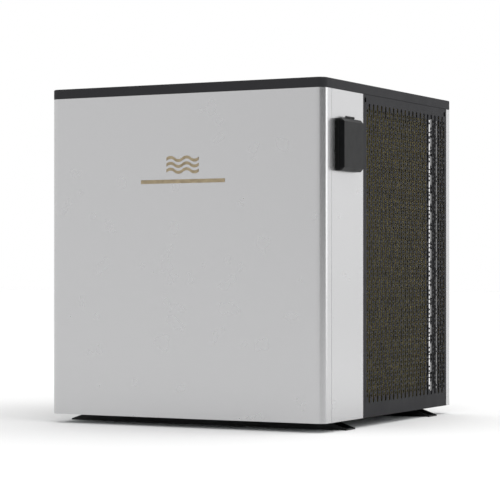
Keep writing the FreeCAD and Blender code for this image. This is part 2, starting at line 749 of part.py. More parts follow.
def slot_column(x, starts_long):
    """Long and short slots by turns, with the short ones beside the long ones' middles."""
    first, second = (LONG_SLOT, SHORT_SLOT) if starts_long else (SHORT_SLOT, LONG_SLOT)
    start = SLOT_BOTTOM if starts_long else SLOT_BOTTOM + (LONG_SLOT - SHORT_SLOT) / 2
    outlines = []
    for row in range(SLOT_ROWS):
        foot = start + row * SLOT_PERIOD
        outlines.append(slot_outline(x, foot, first))
        if row < SLOT_ROWS - 1:
            outlines.append(slot_outline(x, foot + first + SLOT_LAND, second))
    return outlines


def hook_outline(x):
    """Square hole for the hook that holds the panel's top corner."""
    x0, x1 = x - HOOK_WIDTH / 2, x + HOOK_WIDTH / 2
    z1 = PANEL_TOP - PANEL_BOTTOM - HOOK_TOP
    z0 = z1 - HOOK_HEIGHT
    corners = [(x0, z0), (x1, z0), (x1, z1), (x0, z1), (x0, z0)]
    return Part.makePolygon([Vector(x, 0, z) for x, z in corners])


def perforated_sheet(width, first_column, columns, has_hooks):
    """Perforated sheet in the plane y = 0, sewn from one strip per column of slots."""
    height = PANEL_TOP - PANEL_BOTTOM
    lines = [first_column + index * SLOT_PITCH for index in range(columns)]
    bounds = [0.0] + [line + SLOT_PITCH / 2 for line in lines[:-1]] + [width]
    faces = []
    for index, line in enumerate(lines):
        x0, x1 = bounds[index], bounds[index + 1]
        corners = [Vector(x0, 0, 0), Vector(x1, 0, 0), Vector(x1, 0, height), Vector(x0, 0, height)]
        outlines = [Part.makePolygon(corners + [corners[0]])] + slot_column(line, index % 2 == 1)
        if has_hooks and index in (0, columns - 1):
            hook_x = HOOK_INSET if index == 0 else width - HOOK_INSET
            outlines.append(hook_outline(hook_x))
        strip = Part.makeFace(outlines, "Part::FaceMakerBullseye").extrude(Vector(0, SHEET, 0))
        inner = [x for x in (x0, x1) if 0 < x < width]
        for face in strip.Faces:
            if min(abs(face.CenterOfMass.x - x) for x in inner) > TOLERANCE:
                faces.append(face)
    sheet = Part.Compound(faces)
    sheet.sewShape()
    return Part.Solid(sheet if sheet.ShapeType == "Shell" else sheet.Shells[0])


def side_grille_right():
    y0 = PARTITION_Y + JOINT_GAP / 2
    sheet = perforated_sheet(POST_Y - JOINT_GAP / 2 - y0, SIDE_FIRST_COLUMN, SIDE_COLUMNS, True)
    sheet.rotate(Vector(0, 0, 0), Vector(0, 0, 1), 90)
    sheet.translate(Vector(HALF_WIDTH, y0, PANEL_BOTTOM))
    return sheet


def rear_grille():
    width = 2 * (POST_X - JOINT_GAP / 2)
    columns = int((width - 2 * REAR_MARGIN) / SLOT_PITCH) + 1
    first = (width - (columns - 1) * SLOT_PITCH) / 2
    sheet = perforated_sheet(width, first, columns, False)
    sheet.translate(Vector(-width / 2, HALF_DEPTH - SHEET, PANEL_BOTTOM))
    return pierced(sheet, rear_grille_screws())


def corner_post_right():
    outer = plan_slab(0, PANEL_BOTTOM, PANEL_TOP).cut(plan_slab(SHEET, PANEL_BOTTOM, PANEL_TOP))
    x0 = POST_X + JOINT_GAP / 2
    y0 = POST_Y + JOINT_GAP / 2
    return outer.common(box(x0, WIDTH, y0, DEPTH, PANEL_BOTTOM, PANEL_TOP))


def corner_posts():
    right = corner_post_right()
    left = mirror_x(right)
    return pierced(right, rear_post_screws()), pierced(left, rear_post_screws())


def partition_panel():
    half = COIL_INNER_X - END_PLATE_MARGIN
    wall = box(-half, half, PARTITION_Y - SHEET / 2, PARTITION_Y + SHEET / 2, TRAY_TOP, PANEL_TOP)
    foot = box(-half, half, PARTITION_Y, PARTITION_Y + FLANGE, TRAY_TOP, TRAY_TOP + SHEET)
    return joined([wall, foot])


def top_lid():
    lid = plan_slab(0, LID_BOTTOM, LID_TOP)
    rim = [edge for edge in lid.Edges if edge.BoundBox.ZMin > LID_TOP - TOLERANCE]
    lid = lid.makeFillet(LID_EDGE_RADIUS, rim)
    lid = lid.cut(plan_slab(LID_WALL, LID_BOTTOM, LID_SKIN))
    inset = SHEET + LID_LIP_CLEARANCE
    lip = plan_slab(inset, LID_BOTTOM - LID_LIP, LID_SKIN)
    lip = lip.cut(plan_slab(inset + LID_WALL, LID_BOTTOM - LID_LIP, LID_SKIN))
    lid = joined([lid, lip])
    return lid.cut(rod((0, FAN_CENTRE_Y, LID_BOTTOM), (0, 0, 1), THROAT_RADIUS, LID_HEIGHT))


def orifice_ring():
    outline = [(THROAT_RADIUS, ORIFICE_BOTTOM), (THROAT_RADIUS + ORIFICE_SHEET, ORIFICE_BOTTOM)]
    outline += [(THROAT_RADIUS + ORIFICE_SHEET, LID_SKIN - ORIFICE_SHEET)]
    outline += [(THROAT_RADIUS + ORIFICE_FLANGE, LID_SKIN - ORIFICE_SHEET)]
    outline += [(THROAT_RADIUS + ORIFICE_FLANGE, LID_SKIN), (THROAT_RADIUS, LID_SKIN)]
    return turned(0, FAN_CENTRE_Y, outline)


def spun(shape, index, count, offset=0.0):
    """Copy of a shape turned about the fan's axis to its place in a ring of them."""
    copy = shape.copy()
    copy.rotate(Vector(0, FAN_CENTRE_Y, 0), Vector(0, 0, 1), offset + 360.0 * index / count)
    return copy


def motor_bracket():
    """Plate under the fan with arms whose ends turn up and grip the orifice ring."""
    reach = THROAT_RADIUS + ORIFICE_SHEET + BRACKET_SHEET
    y0 = FAN_CENTRE_Y - BRACKET_ARM / 2
    y1 = FAN_CENTRE_Y + BRACKET_ARM / 2
    arm = box(0, reach, y0, y1, BRACKET_BOTTOM, BRACKET_TOP)
    tab = box(reach - BRACKET_SHEET, reach, y0, y1, BRACKET_BOTTOM, BRACKET_BOTTOM + BRACKET_TAB)
    arm = arm.fuse(tab)
    centre = (0, FAN_CENTRE_Y, BRACKET_BOTTOM)
    pieces = [rod(centre, (0, 0, 1), MOTOR_FLANGE_RADIUS + BRACKET_PLATE_MARGIN, BRACKET_SHEET)]
    for index in range(BRACKET_ARMS):
        pieces.append(spun(arm, index, BRACKET_ARMS, BRACKET_FIRST_ARM))
    return joined(pieces).cut(rod(centre, (0, 0, 1), BOSS_RADIUS, BRACKET_SHEET))


def motor_body():
    """Motor shell with cooling ribs, hung by its flange below the bracket."""
    bottom = BRACKET_BOTTOM - MOTOR_HEIGHT
    flange_z = BRACKET_BOTTOM - MOTOR_FLANGE
    shell = rod((0, FAN_CENTRE_Y, bottom), (0, 0, 1), MOTOR_RADIUS, MOTOR_HEIGHT)
    rim = [edge for edge in shell.Edges if edge.BoundBox.ZMax < bottom + TOLERANCE]
    pieces = [shell.makeFillet(MOTOR_EDGE_RADIUS, rim)]
    pieces.append(rod((0, FAN_CENTRE_Y, flange_z), (0, 0, 1), MOTOR_FLANGE_RADIUS, MOTOR_FLANGE))
    half = MOTOR_RIB_THICKNESS / 2
    rib = box(MOTOR_RADIUS - MOTOR_RIB_SINK, MOTOR_RADIUS + MOTOR_RIB_RISE, FAN_CENTRE_Y - half,
              FAN_CENTRE_Y + half, bottom + MOTOR_RIB_START, flange_z)
    pieces += [spun(rib, index, MOTOR_RIBS) for index in range(MOTOR_RIBS)]
    depth = MOTOR_HEIGHT / 2
    start = (0, FAN_CENTRE_Y, BRACKET_BOTTOM - depth)
    return joined(pieces).cut(rod(start, (0, 0, 1), SHAFT_RADIUS + SHAFT_RUNNING_GAP, depth))


def motor_shaft():
    start = BRACKET_BOTTOM - MOTOR_HEIGHT / 2 + SHAFT_END_GAP
    length = HUB_TOP + SHAFT_THREAD - start
    return rod((0, FAN_CENTRE_Y, start), (0, 0, 1), SHAFT_RADIUS, length)


def blade_section(radius, chord, pitch):
    """Closed outline across one blade, square to the radius, tilted by its pitch."""
    angle = math.radians(pitch)
    half = chord / 2
    along = Vector(0, math.cos(angle), math.sin(angle))
    across = Vector(0, -math.sin(angle), math.cos(angle))
    centre = Vector(radius, FAN_CENTRE_Y, FAN_Z)
    crown = centre + across * chord * BLADE_CAMBER
    lower = [centre - along * half, crown, centre + along * half]
    upper = [point + across * BLADE_THICKNESS for point in lower]
    rise = across * BLADE_THICKNESS / 2
    bottom = Part.Arc(lower[0], lower[1], lower[2]).toShape()
    nose = Part.Arc(lower[2], lower[2] + rise + along * BLADE_EDGE, upper[2]).toShape()
    top = Part.Arc(upper[2], upper[1], upper[0]).toShape()
    tail = Part.Arc(upper[0], lower[0] + rise - along * BLADE_EDGE, lower[0]).toShape()
    return Part.Wire([bottom, nose, top, tail])


def fan_rotor():
    """Hollow hub with a boss for the shaft, and twisted blades trimmed to the tip circle."""
    sections = [blade_section(HUB_RADIUS - HUB_WALL, BLADE_ROOT_CHORD, BLADE_ROOT_PITCH)]
    sections.append(blade_section(FAN_RADIUS + BLADE_OVERRUN, BLADE_TIP_CHORD, BLADE_TIP_PITCH))
    start = (0, FAN_CENTRE_Y, FAN_Z - BLADE_HEADROOM)
    sweep = tube(start, (0, 0, 1), FAN_RADIUS, HUB_RADIUS - HUB_WALL / 2, 2 * BLADE_HEADROOM)
    blade = Part.makeLoft(sections, True, True).common(sweep)
    bottom = FAN_Z - HUB_HEIGHT / 2
    inner = HUB_RADIUS - HUB_WALL
    outline = [(SHAFT_RADIUS, bottom), (BOSS_RADIUS, bottom), (BOSS_RADIUS, HUB_TOP - HUB_WALL)]
    outline += [(inner, HUB_TOP - HUB_WALL), (inner, bottom), (HUB_RADIUS, bottom)]
    outline += [(HUB_RADIUS, HUB_TOP - HUB_CHAMFER), (HUB_RADIUS - HUB_CHAMFER, HUB_TOP)]
    outline += [(SHAFT_RADIUS, HUB_TOP)]
    hub = turned(0, FAN_CENTRE_Y, outline)
    return joined([hub] + [spun(blade, index, FAN_BLADES) for index in range(FAN_BLADES)])


def fan_nut():
    foot = (0, FAN_CENTRE_Y, HUB_TOP)
    nut = polygon_rod(foot, (0, 0, 1), FAN_NUT_RADIUS, FAN_NUT_HEIGHT, HEX_SIDES)
    return nut.cut(rod(foot, (0, 0, 1), SHAFT_RADIUS, FAN_NUT_HEIGHT))


def fan_guard():
    """Concentric wire rings welded to spokes that stand on the lid by short legs."""
    ring_z = LID_TOP + GUARD_RISE
    spoke_z = ring_z - GUARD_RING_DROP
    rings = int((GUARD_RADIUS - GUARD_DISC_RADIUS) / GUARD_PITCH)
    centre = Vector(0, FAN_CENTRE_Y, ring_z)
    disc_foot = (0, FAN_CENTRE_Y, spoke_z)
    pieces = [rod(disc_foot, (0, 0, 1), GUARD_DISC_RADIUS, GUARD_DISC_THICKNESS)]
    for index in range(rings + 1):
        pieces.append(Part.makeTorus(GUARD_RADIUS - index * GUARD_PITCH, GUARD_WIRE, centre))
    start = Vector(GUARD_DISC_RADIUS - GUARD_WELD_RUN, FAN_CENTRE_Y, spoke_z)
    reach = GUARD_RADIUS + GUARD_WELD_RUN - start.x
    spoke = rod(start, (1, 0, 0), GUARD_WIRE, reach)
    # The spoke's seam line is turned to its underside, clear of the rings.
    spoke.rotate(start, Vector(1, 0, 0), 180)
    leg_x = start.x + reach - GUARD_LEG_RADIUS
    leg = rod((leg_x, FAN_CENTRE_Y, LID_TOP), (0, 0, 1), GUARD_LEG_RADIUS, spoke_z - LID_TOP)
    for index in range(GUARD_SPOKES):
        pieces.append(spun(spoke.fuse(leg), index, GUARD_SPOKES, GUARD_FIRST_SPOKE))
    return pieces[0].multiFuse(pieces[1:])


def coil_plan(z):
    """C-shaped plan of the coil, open towards the front."""
    rims = []
    for half_x, rear_y, radius in (
        (COIL_X, COIL_Y, COIL_OUTER_RADIUS),
        (COIL_INNER_X, COIL_INNER_Y, COIL_OUTER_RADIUS - COIL_THICKNESS),
    ):
        front_y = COIL_START_Y - COIL_CLIP
        rim = rounded_plan(half_x, front_y, rear_y, SMALLEST_RADIUS, radius, z)
        rims.append(Part.Face(rim))
    ring = rims[0].cut(rims[1])
    clip = Part.makePlane(2 * WIDTH, DEPTH, Vector(-WIDTH, COIL_START_Y, z))
    return ring.common(clip)


def coil_fins():
    return coil_plan(COIL_BOTTOM).Faces[0].extrude(Vector(0, 0, COIL_TOP - COIL_BOTTOM))


def coil_end_plates():
    x0 = COIL_INNER_X - END_PLATE_MARGIN
    x1 = COIL_X + END_PLATE_MARGIN
    right = box(x0, x1, END_PLATE_Y, COIL_START_Y, COIL_BOTTOM, COIL_TOP)
    return [right, mirror_x(right)]


def half_bend(centre, start, axis):
    """Half of a ring of tube, swept about an axis line in the end plate's plane."""
    circle = Part.Face(Part.Wire([Part.makeCircle(TUBE_RADIUS, Vector(*start), Vector(0, 1, 0))]))
    return circle.revolve(Vector(*centre), Vector(*axis), 180)


def level_z(index):
    return FIRST_LEVEL + index * TUBE_PITCH


def coil_return_bends():
    """U-bends that join the tubes of each circuit, row to row and level to level."""
    bends = []
    middle = (INNER_ROW_X + OUTER_ROW_X) / 2
    for level in range(COIL_LEVELS):
        z = level_z(level)
        start = (-INNER_ROW_X, END_PLATE_Y, z)
        bends.append(half_bend((-middle, END_PLATE_Y, z), start, (0, 0, -1)))
        step = level % LEVELS_PER_CIRCUIT
        if step < LEVELS_PER_CIRCUIT - 1:
            x = OUTER_ROW_X if step % 2 == 0 else INNER_ROW_X
            centre = (x, END_PLATE_Y, z + TUBE_PITCH / 2)
            bends.append(half_bend(centre, (x, END_PLATE_Y, z), (-1, 0, 0)))
    return bends


def suction_header():
    z0 = TRAY_TOP + HEADER_FOOT_GAP
    top = level_z((CIRCUITS - 1) * LEVELS_PER_CIRCUIT) + HEADER_RISE
    pieces = [rod((INNER_ROW_X, HEADER_Y, z0), (0, 0, 1), HEADER_RADIUS, top - z0)]
    for circuit in range(CIRCUITS):
        start = (INNER_ROW_X, HEADER_Y, level_z(circuit * LEVELS_PER_CIRCUIT))
        pieces.append(rod(start, (0, 1, 0), TUBE_RADIUS, END_PLATE_Y - HEADER_Y))
    return joined(pieces)


def distributor():
    outline = [(0, DISTRIBUTOR_BOTTOM), (DISTRIBUTOR_NECK, DISTRIBUTOR_BOTTOM)]
    outline += [(DISTRIBUTOR_RADIUS, DISTRIBUTOR_TOP - DISTRIBUTOR_RIM)]
    outline += [(DISTRIBUTOR_RADIUS, DISTRIBUTOR_TOP), (0, DISTRIBUTOR_TOP)]
    return turned(OUTER_ROW_X, DISTRIBUTOR_Y, outline)


def capillaries():
    """One thin tube per circuit; the nearest tube on the cone feeds the lowest circuit."""
    tubes = []
    for circuit, angle in enumerate(CAPILLARY_ANGLES):
        turn = math.radians(angle)
        x = OUTER_ROW_X + CAPILLARY_CIRCLE * math.cos(turn)
        y = DISTRIBUTOR_Y + CAPILLARY_CIRCLE * math.sin(turn)
        z = level_z(circuit * LEVELS_PER_CIRCUIT + LEVELS_PER_CIRCUIT - 1)
        points = [(x, y, DISTRIBUTOR_TOP), (x, y, z)]
        points += [(OUTER_ROW_X, END_PLATE_Y - CAPILLARY_STUB, z), (OUTER_ROW_X, END_PLATE_Y, z)]
        tubes.append(pipe(points, CAPILLARY_RADIUS, CAPILLARY_BEND))
    return tubes


def mount_places():
    places = []
    for angle in MOUNT_ANGLES:
        turn = math.radians(angle)
        x = COMPRESSOR_X + MOUNT_CIRCLE * math.cos(turn)
        places.append((x, COMPRESSOR_Y + MOUNT_CIRCLE * math.sin(turn)))
    return places


def compressor():
    """Domed shell on a base plate with three arms for the rubber mounts."""
    foot = (COMPRESSOR_X, COMPRESSOR_Y, COMPRESSOR_BOTTOM)
    shell = rod(foot, (0, 0, 1), COMPRESSOR_RADIUS, COMPRESSOR_HEIGHT)
    rims = [edge for edge in shell.Edges if edge.BoundBox.ZLength < TOLERANCE]
    pieces = [shell.makeFillet(COMPRESSOR_DOME, rims)]
    pieces.append(rod((COMPRESSOR_X, COMPRESSOR_Y, COMPRESSOR_BASE), (0, 0, 1),
                      COMPRESSOR_RADIUS - COMPRESSOR_SKIRT_INSET, BASE_PLATE + CUT_MARGIN))
    for angle in MOUNT_ANGLES:
        arm = box(0, MOUNT_CIRCLE, -MOUNT_RADIUS, MOUNT_RADIUS, 0, BASE_PLATE)
        arm = arm.fuse(rod((MOUNT_CIRCLE, 0, 0), (0, 0, 1), MOUNT_RADIUS, BASE_PLATE))
        arm.rotate(Vector(0, 0, 0), Vector(0, 0, 1), angle)
        arm.translate(Vector(COMPRESSOR_X, COMPRESSOR_Y, COMPRESSOR_BASE))
        pieces.append(arm)
    body = joined(pieces)
    for x, y in mount_places():
        body = body.cut(rod((x, y, COMPRESSOR_BASE), (0, 0, 1), MOUNT_STUD, BASE_PLATE))
    return body


def compressor_mounts():
    """Rubber grommets with a waist, one under each arm."""
    low = TRAY_TOP + MOUNT_GROOVE_LOW
    high = TRAY_TOP + MOUNT_GROOVE_HIGH
    outline = [(MOUNT_STUD, TRAY_TOP), (MOUNT_RADIUS, TRAY_TOP), (MOUNT_RADIUS, low)]
    outline += [(MOUNT_RADIUS - MOUNT_GROOVE, (low + high) / 2), (MOUNT_RADIUS, high)]
    outline += [(MOUNT_RADIUS, COMPRESSOR_BASE), (MOUNT_STUD, COMPRESSOR_BASE)]
    return [turned(x, y, outline) for x, y in mount_places()]


def compressor_bolts():
    bolts = []
    length = COMPRESSOR_BOTTOM + MOUNT_STUD_RISE - PANEL_BOTTOM
    for x, y in mount_places():
        stud = rod((x, y, PANEL_BOTTOM), (0, 0, 1), MOUNT_STUD, length)
        nut = polygon_rod((x, y, COMPRESSOR_BOTTOM), (0, 0, 1), MOUNT_NUT_RADIUS, MOUNT_NUT_HEIGHT,
                          HEX_SIDES)
        bolts.append(stud.fuse(nut))
    return bolts


def terminal_cover():
    x = COMPRESSOR_X + COMPRESSOR_RADIUS - COMPRESSOR_DOME - TERMINAL_RADIUS
    cover = rod((x, COMPRESSOR_Y, COMPRESSOR_TOP), (0, 0, 1), TERMINAL_RADIUS, TERMINAL_HEIGHT)
    top = COMPRESSOR_TOP + TERMINAL_HEIGHT - TOLERANCE
    rim = [edge for edge in cover.Edges if edge.BoundBox.ZMin > top]
    return cover.makeFillet(TERMINAL_EDGE_RADIUS, rim)


def accumulator():
    foot = (ACCUMULATOR_X, COMPRESSOR_Y, ACCUMULATOR_BOTTOM)
    body = rod(foot, (0, 0, 1), ACCUMULATOR_RADIUS, ACCUMULATOR_HEIGHT)
    rims = [edge for edge in body.Edges if edge.BoundBox.ZLength < TOLERANCE]
    return body.makeFillet(ACCUMULATOR_DOME, rims)


def reversing_valve():
    """Lying barrel with one stub above, three below and a pilot valve behind."""
    start = VALVE_X - VALVE_LENGTH / 2
    body = rod((start, VALVE_Y, VALVE_Z), (1, 0, 0), VALVE_RADIUS, VALVE_LENGTH)
    rims = [edge for edge in body.Edges if edge.BoundBox.XLength < TOLERANCE]
    pieces = [body.makeFillet(VALVE_EDGE_RADIUS, rims)]
    stub = DISCHARGE_PIPE_RADIUS + VALVE_STUB_WALL
    pieces.append(rod((VALVE_X, VALVE_Y, VALVE_Z), (0, 0, 1), stub, VALVE_STUB))
    for index in (-1, 0, 1):
        centre = (VALVE_X + index * VALVE_STUB_SPACING, VALVE_Y, VALVE_Z)
        pieces.append(rod(centre, (0, 0, -1), GAS_PIPE_RADIUS + VALVE_STUB_WALL, VALVE_STUB))
    pilot = (VALVE_X - PILOT_LENGTH / 2, VALVE_Y + VALVE_RADIUS + PILOT_OFFSET, VALVE_Z)
    pieces.append(rod(pilot, (1, 0, 0), PILOT_RADIUS, PILOT_LENGTH))
    return joined(pieces)


def discharge_pipe():
    top = VALVE_Z + VALVE_STUB
    loop = top + DISCHARGE_LOOP
    points = [(COMPRESSOR_X, COMPRESSOR_Y, COMPRESSOR_TOP), (COMPRESSOR_X, COMPRESSOR_Y, loop)]
    points += [(VALVE_X, VALVE_Y, loop), (VALVE_X, VALVE_Y, top)]
    return pipe(points, DISCHARGE_PIPE_RADIUS)


def suction_pipes():
    stub = VALVE_Z - VALVE_STUB
    run = stub - SUCTION_DROP
    points = [(VALVE_X, VALVE_Y, stub), (VALVE_X, VALVE_Y, run)]
    points += [(ACCUMULATOR_X, COMPRESSOR_Y, run), (ACCUMULATOR_X, COMPRESSOR_Y, ACCUMULATOR_TOP)]
    low = ACCUMULATOR_BOTTOM - SUCTION_ELBOW_DROP
    elbow = [(ACCUMULATOR_X, COMPRESSOR_Y, ACCUMULATOR_BOTTOM), (ACCUMULATOR_X, COMPRESSOR_Y, low)]
    elbow += [(COMPRESSOR_X + COMPRESSOR_RADIUS, COMPRESSOR_Y, low)]
    return [pipe(points, GAS_PIPE_RADIUS), pipe(elbow, GAS_PIPE_RADIUS, SUCTION_ELBOW_BEND)]


def gas_pipes():
    """From the reversing valve to the water exchanger and to the air coil's header."""
    stub = VALVE_Z - VALVE_STUB
    x0 = VALVE_X - VALVE_STUB_SPACING
    points = [(x0, VALVE_Y, stub), (x0, VALVE_Y, GAS_PORT_Z), (GAS_JOG_START, VALVE_Y, GAS_PORT_Z)]
    points += [(GAS_JOG_END, EXCHANGER_Y, GAS_PORT_Z), (PORT_END_X, EXCHANGER_Y, GAS_PORT_Z)]
    x1 = VALVE_X + VALVE_STUB_SPACING
    run = stub - HEADER_BRANCH_DROP
    route = [(x1, VALVE_Y, stub), (x1, VALVE_Y, run), (INNER_ROW_X, HEADER_Y, run)]
    header = rod((INNER_ROW_X, HEADER_Y, COIL_BOTTOM), (0, 0, 1), HEADER_RADIUS, PANEL_HEIGHT)
    return [pipe(points, GAS_PIPE_RADIUS), pipe(route, GAS_PIPE_RADIUS).cut(header)]


def liquid_pipes():
    """From the exchanger through the filter drier and expansion valve to the distributor."""
    z = LIQUID_PORT_Z
    first = [(PORT_END_X, EXCHANGER_Y, z), (LIQUID_DROP_X, EXCHANGER_Y, z)]
    first += [(LIQUID_DROP_X, DRIER_Y, z), (DRIER_X, DRIER_Y, z)]
    front_y = COMPRESSOR_Y - COMPRESSOR_RADIUS - LIQUID_FRONT_GAP
    rise_z = EXPANSION_BOTTOM + EXPANSION_INLET_RISE
    second = [(DRIER_X + DRIER_LENGTH, DRIER_Y, z), (LIQUID_JOG_START, DRIER_Y, z)]
    second += [(LIQUID_JOG_END, front_y, z), (EXPANSION_X, front_y, z), (EXPANSION_X, front_y, rise_z)]
    second += [(EXPANSION_X, EXPANSION_Y - EXPANSION_BODY_RADIUS, rise_z)]
    low = TRAY_TOP + LIQUID_LOW_RISE
    third = [(EXPANSION_X, EXPANSION_Y, EXPANSION_BOTTOM), (EXPANSION_X, EXPANSION_Y, low)]
    third += [(OUTER_ROW_X, DISTRIBUTOR_Y, low), (OUTER_ROW_X, DISTRIBUTOR_Y, DISTRIBUTOR_BOTTOM)]
    return [pipe(points, LIQUID_PIPE_RADIUS) for points in (first, second, third)]


def filter_drier():
    start = (DRIER_X + DRIER_NECK, DRIER_Y, LIQUID_PORT_Z)
    body = rod(start, (1, 0, 0), DRIER_RADIUS, DRIER_LENGTH - 2 * DRIER_NECK)
    rims = [edge for edge in body.Edges if edge.BoundBox.XLength < TOLERANCE]
    body = body.makeFillet(DRIER_EDGE_RADIUS, rims)
    neck_radius = LIQUID_PIPE_RADIUS + DRIER_NECK_WALL
    necks = rod((DRIER_X, DRIER_Y, LIQUID_PORT_Z), (1, 0, 0), neck_radius, DRIER_LENGTH)
    return joined([body, necks])


def expansion_valve():
    """Valve body, the coil of its stepper motor above it, and the cap."""
    pieces = []
    foot = EXPANSION_BOTTOM
    for radius, height in (
        (EXPANSION_BODY_RADIUS, EXPANSION_BODY_HEIGHT),
        (EXPANSION_COIL_RADIUS, EXPANSION_COIL_HEIGHT),
        (EXPANSION_CAP_RADIUS, EXPANSION_CAP_HEIGHT),
    ):
        pieces.append(rod((EXPANSION_X, EXPANSION_Y, foot), (0, 0, 1), radius, height))
        foot += height
    return joined(pieces)


def exchanger_shell():
    foot = (EXCHANGER_X, EXCHANGER_Y, TRAY_TOP + CAP_HEIGHT - CAP_SOCKET)
    inner = EXCHANGER_RADIUS - EXCHANGER_WALL
    reach = EXCHANGER_RADIUS + CUT_MARGIN
    shell = tube(foot, (0, 0, 1), EXCHANGER_RADIUS, inner, EXCHANGER_HEIGHT)
    for z in WATER_PORTS:
        shell = shell.cut(rod((EXCHANGER_X, EXCHANGER_Y, z), (-1, 0, 0), WATER_BORE_RADIUS, reach))
    for z in (LIQUID_PORT_Z, GAS_PORT_Z):
        shell = shell.cut(rod((EXCHANGER_X, EXCHANGER_Y, z), (1, 0, 0), COIL_STUB_RADIUS, reach))
    return shell


def exchanger_caps():
    base = TRAY_TOP
    rim = base + CAP_HEIGHT
    socket = rim - CAP_SOCKET
    outline = [(0, base), (CAP_RADIUS - CAP_CHAMFER, base), (CAP_RADIUS, base + CAP_FOOT_HEIGHT)]
    outline += [(CAP_RADIUS, rim), (EXCHANGER_RADIUS, rim), (EXCHANGER_RADIUS, socket), (0, socket)]
    lower = turned(EXCHANGER_X, EXCHANGER_Y, outline)
    mirrored = [(radius, 2 * socket + EXCHANGER_HEIGHT - z) for radius, z in outline]
    upper = turned(EXCHANGER_X, EXCHANGER_Y, mirrored)
    return [lower, upper]


def exchanger_coil():
    """Titanium helix inside the shell, with a stub through the wall at each end."""
    height = GAS_PORT_Z - LIQUID_PORT_Z
    helix = Part.makeHelix(height / COIL_TUBE_TURNS, height, COIL_TUBE_CIRCLE)
    centre = Vector(COIL_TUBE_CIRCLE, 0, 0)
    circle = Part.Wire([Part.makeCircle(COIL_TUBE_RADIUS, centre, Vector(0, 1, 0))])
    coil = Part.Wire(helix.Edges).makePipeShell([circle], True, True)
    coil.translate(Vector(EXCHANGER_X, EXCHANGER_Y, LIQUID_PORT_Z))
    start = EXCHANGER_X + COIL_TUBE_REACH + COIL_STUB_GAP
    pieces = [coil]
    for z in (LIQUID_PORT_Z, GAS_PORT_Z):
        pieces.append(rod((start, EXCHANGER_Y, z), (1, 0, 0), COIL_STUB_RADIUS, PORT_END_X - start))
    return pieces


def water_pipe(z):
    """Straight pipe from the exchanger's wall through the side panel to its collar."""
    start = (EXCHANGER_X, EXCHANGER_Y, z)
    length = EXCHANGER_X - COLLAR_X
    barrel = rod(start, (-1, 0, 0), WATER_PIPE_RADIUS, length)
    collar = rod((COLLAR_X, EXCHANGER_Y, z), (1, 0, 0), UNION_FLANGE_RADIUS, UNION_COLLAR)
    bore = rod(start, (-1, 0, 0), WATER_BORE_RADIUS, length)
    foot = (EXCHANGER_X, EXCHANGER_Y, z - EXCHANGER_RADIUS)
    core = rod(foot, (0, 0, 1), EXCHANGER_RADIUS, 2 * EXCHANGER_RADIUS)
    return barrel.fuse(collar).cut(bore).cut(core)


def union_parts():
    """Tail pieces, nuts and sealing rings of the two pipe unions, from the collar outwards."""
    tails, nuts, seals = [], [], []
    out = (-1, 0, 0)
    tail_x = COLLAR_X - UNION_SEAL
    shoulder = tail_x - UNION_TAIL_FLANGE
    end = -HALF_WIDTH - UNION_REACH
    nut_x = -HALF_WIDTH - UNION_NUT_GAP
    nut_length = nut_x - shoulder + UNION_NUT_LIP
    for z in WATER_PORTS:
        seal_start = (COLLAR_X, EXCHANGER_Y, z)
        seals.append(tube(seal_start, out, UNION_SEAL_OUTER, UNION_SEAL_INNER, UNION_SEAL))
        tail_start = (tail_x, EXCHANGER_Y, z)
        tail = rod(tail_start, out, UNION_FLANGE_RADIUS, UNION_TAIL_FLANGE)
        tail = tail.fuse(rod(tail_start, out, UNION_BARREL_RADIUS, tail_x - end))
        tail = tail.cut(rod(tail_start, out, WATER_BORE_RADIUS, tail_x - end))
        socket = rod((end, EXCHANGER_Y, z), (1, 0, 0), PIPE_SOCKET_RADIUS, PIPE_SOCKET_DEPTH)
        tails.append(tail.cut(socket))
        nut_start = (nut_x, EXCHANGER_Y, z)
        nut = polygon_rod(nut_start, out, UNION_NUT_RADIUS, nut_length, UNION_NUT_SIDES)
        nut = nut.cut(rod(nut_start, out, UNION_FLANGE_RADIUS, nut_x - shoulder))
        nuts.append(nut.cut(rod(nut_start, out, UNION_BARREL_RADIUS, nut_length)))
    return tails, nuts, seals


def pressure_switch():
    """Stem and hexagonal cap, saddled on the lower water pipe."""
    x = (EXCHANGER_X - EXCHANGER_RADIUS - HALF_WIDTH) / 2
    foot = WATER_PORT_LOW + WATER_PIPE_RADIUS - SWITCH_SINK
    stem = rod((x, EXCHANGER_Y, foot), (0, 0, 1), SWITCH_STEM_RADIUS, SWITCH_STEM_HEIGHT)
    cap = polygon_rod((x, EXCHANGER_Y, foot + SWITCH_CAP_FOOT), (0, 0, 1), SWITCH_CAP_RADIUS,
                      SWITCH_CAP_HEIGHT, HEX_SIDES)
    pipe_start = (EXCHANGER_X, EXCHANGER_Y, WATER_PORT_LOW)
    return joined([stem, cap]).cut(rod(pipe_start, (-1, 0, 0), WATER_PIPE_RADIUS, HALF_WIDTH))


def electrical_box():
    """Tray open to the front, hung from the partition by its two side walls."""
    wall_y = PARTITION_Y - SHEET / 2
    back = BOX_BACK_Y - BOX_SHEET
    pieces = [box(BOX_LEFT, BOX_RIGHT, back, BOX_BACK_Y, BOX_BOTTOM, BOX_TOP)]
    for z in (BOX_BOTTOM, BOX_TOP - BOX_SHEET):
        pieces.append(box(BOX_LEFT, BOX_RIGHT, BOX_FRONT_Y, BOX_BACK_Y, z, z + BOX_SHEET))
    for x in (BOX_LEFT, BOX_RIGHT - BOX_SHEET):
        pieces.append(box(x, x + BOX_SHEET, BOX_FRONT_Y, wall_y, BOX_BOTTOM, BOX_TOP))
    return joined(pieces)


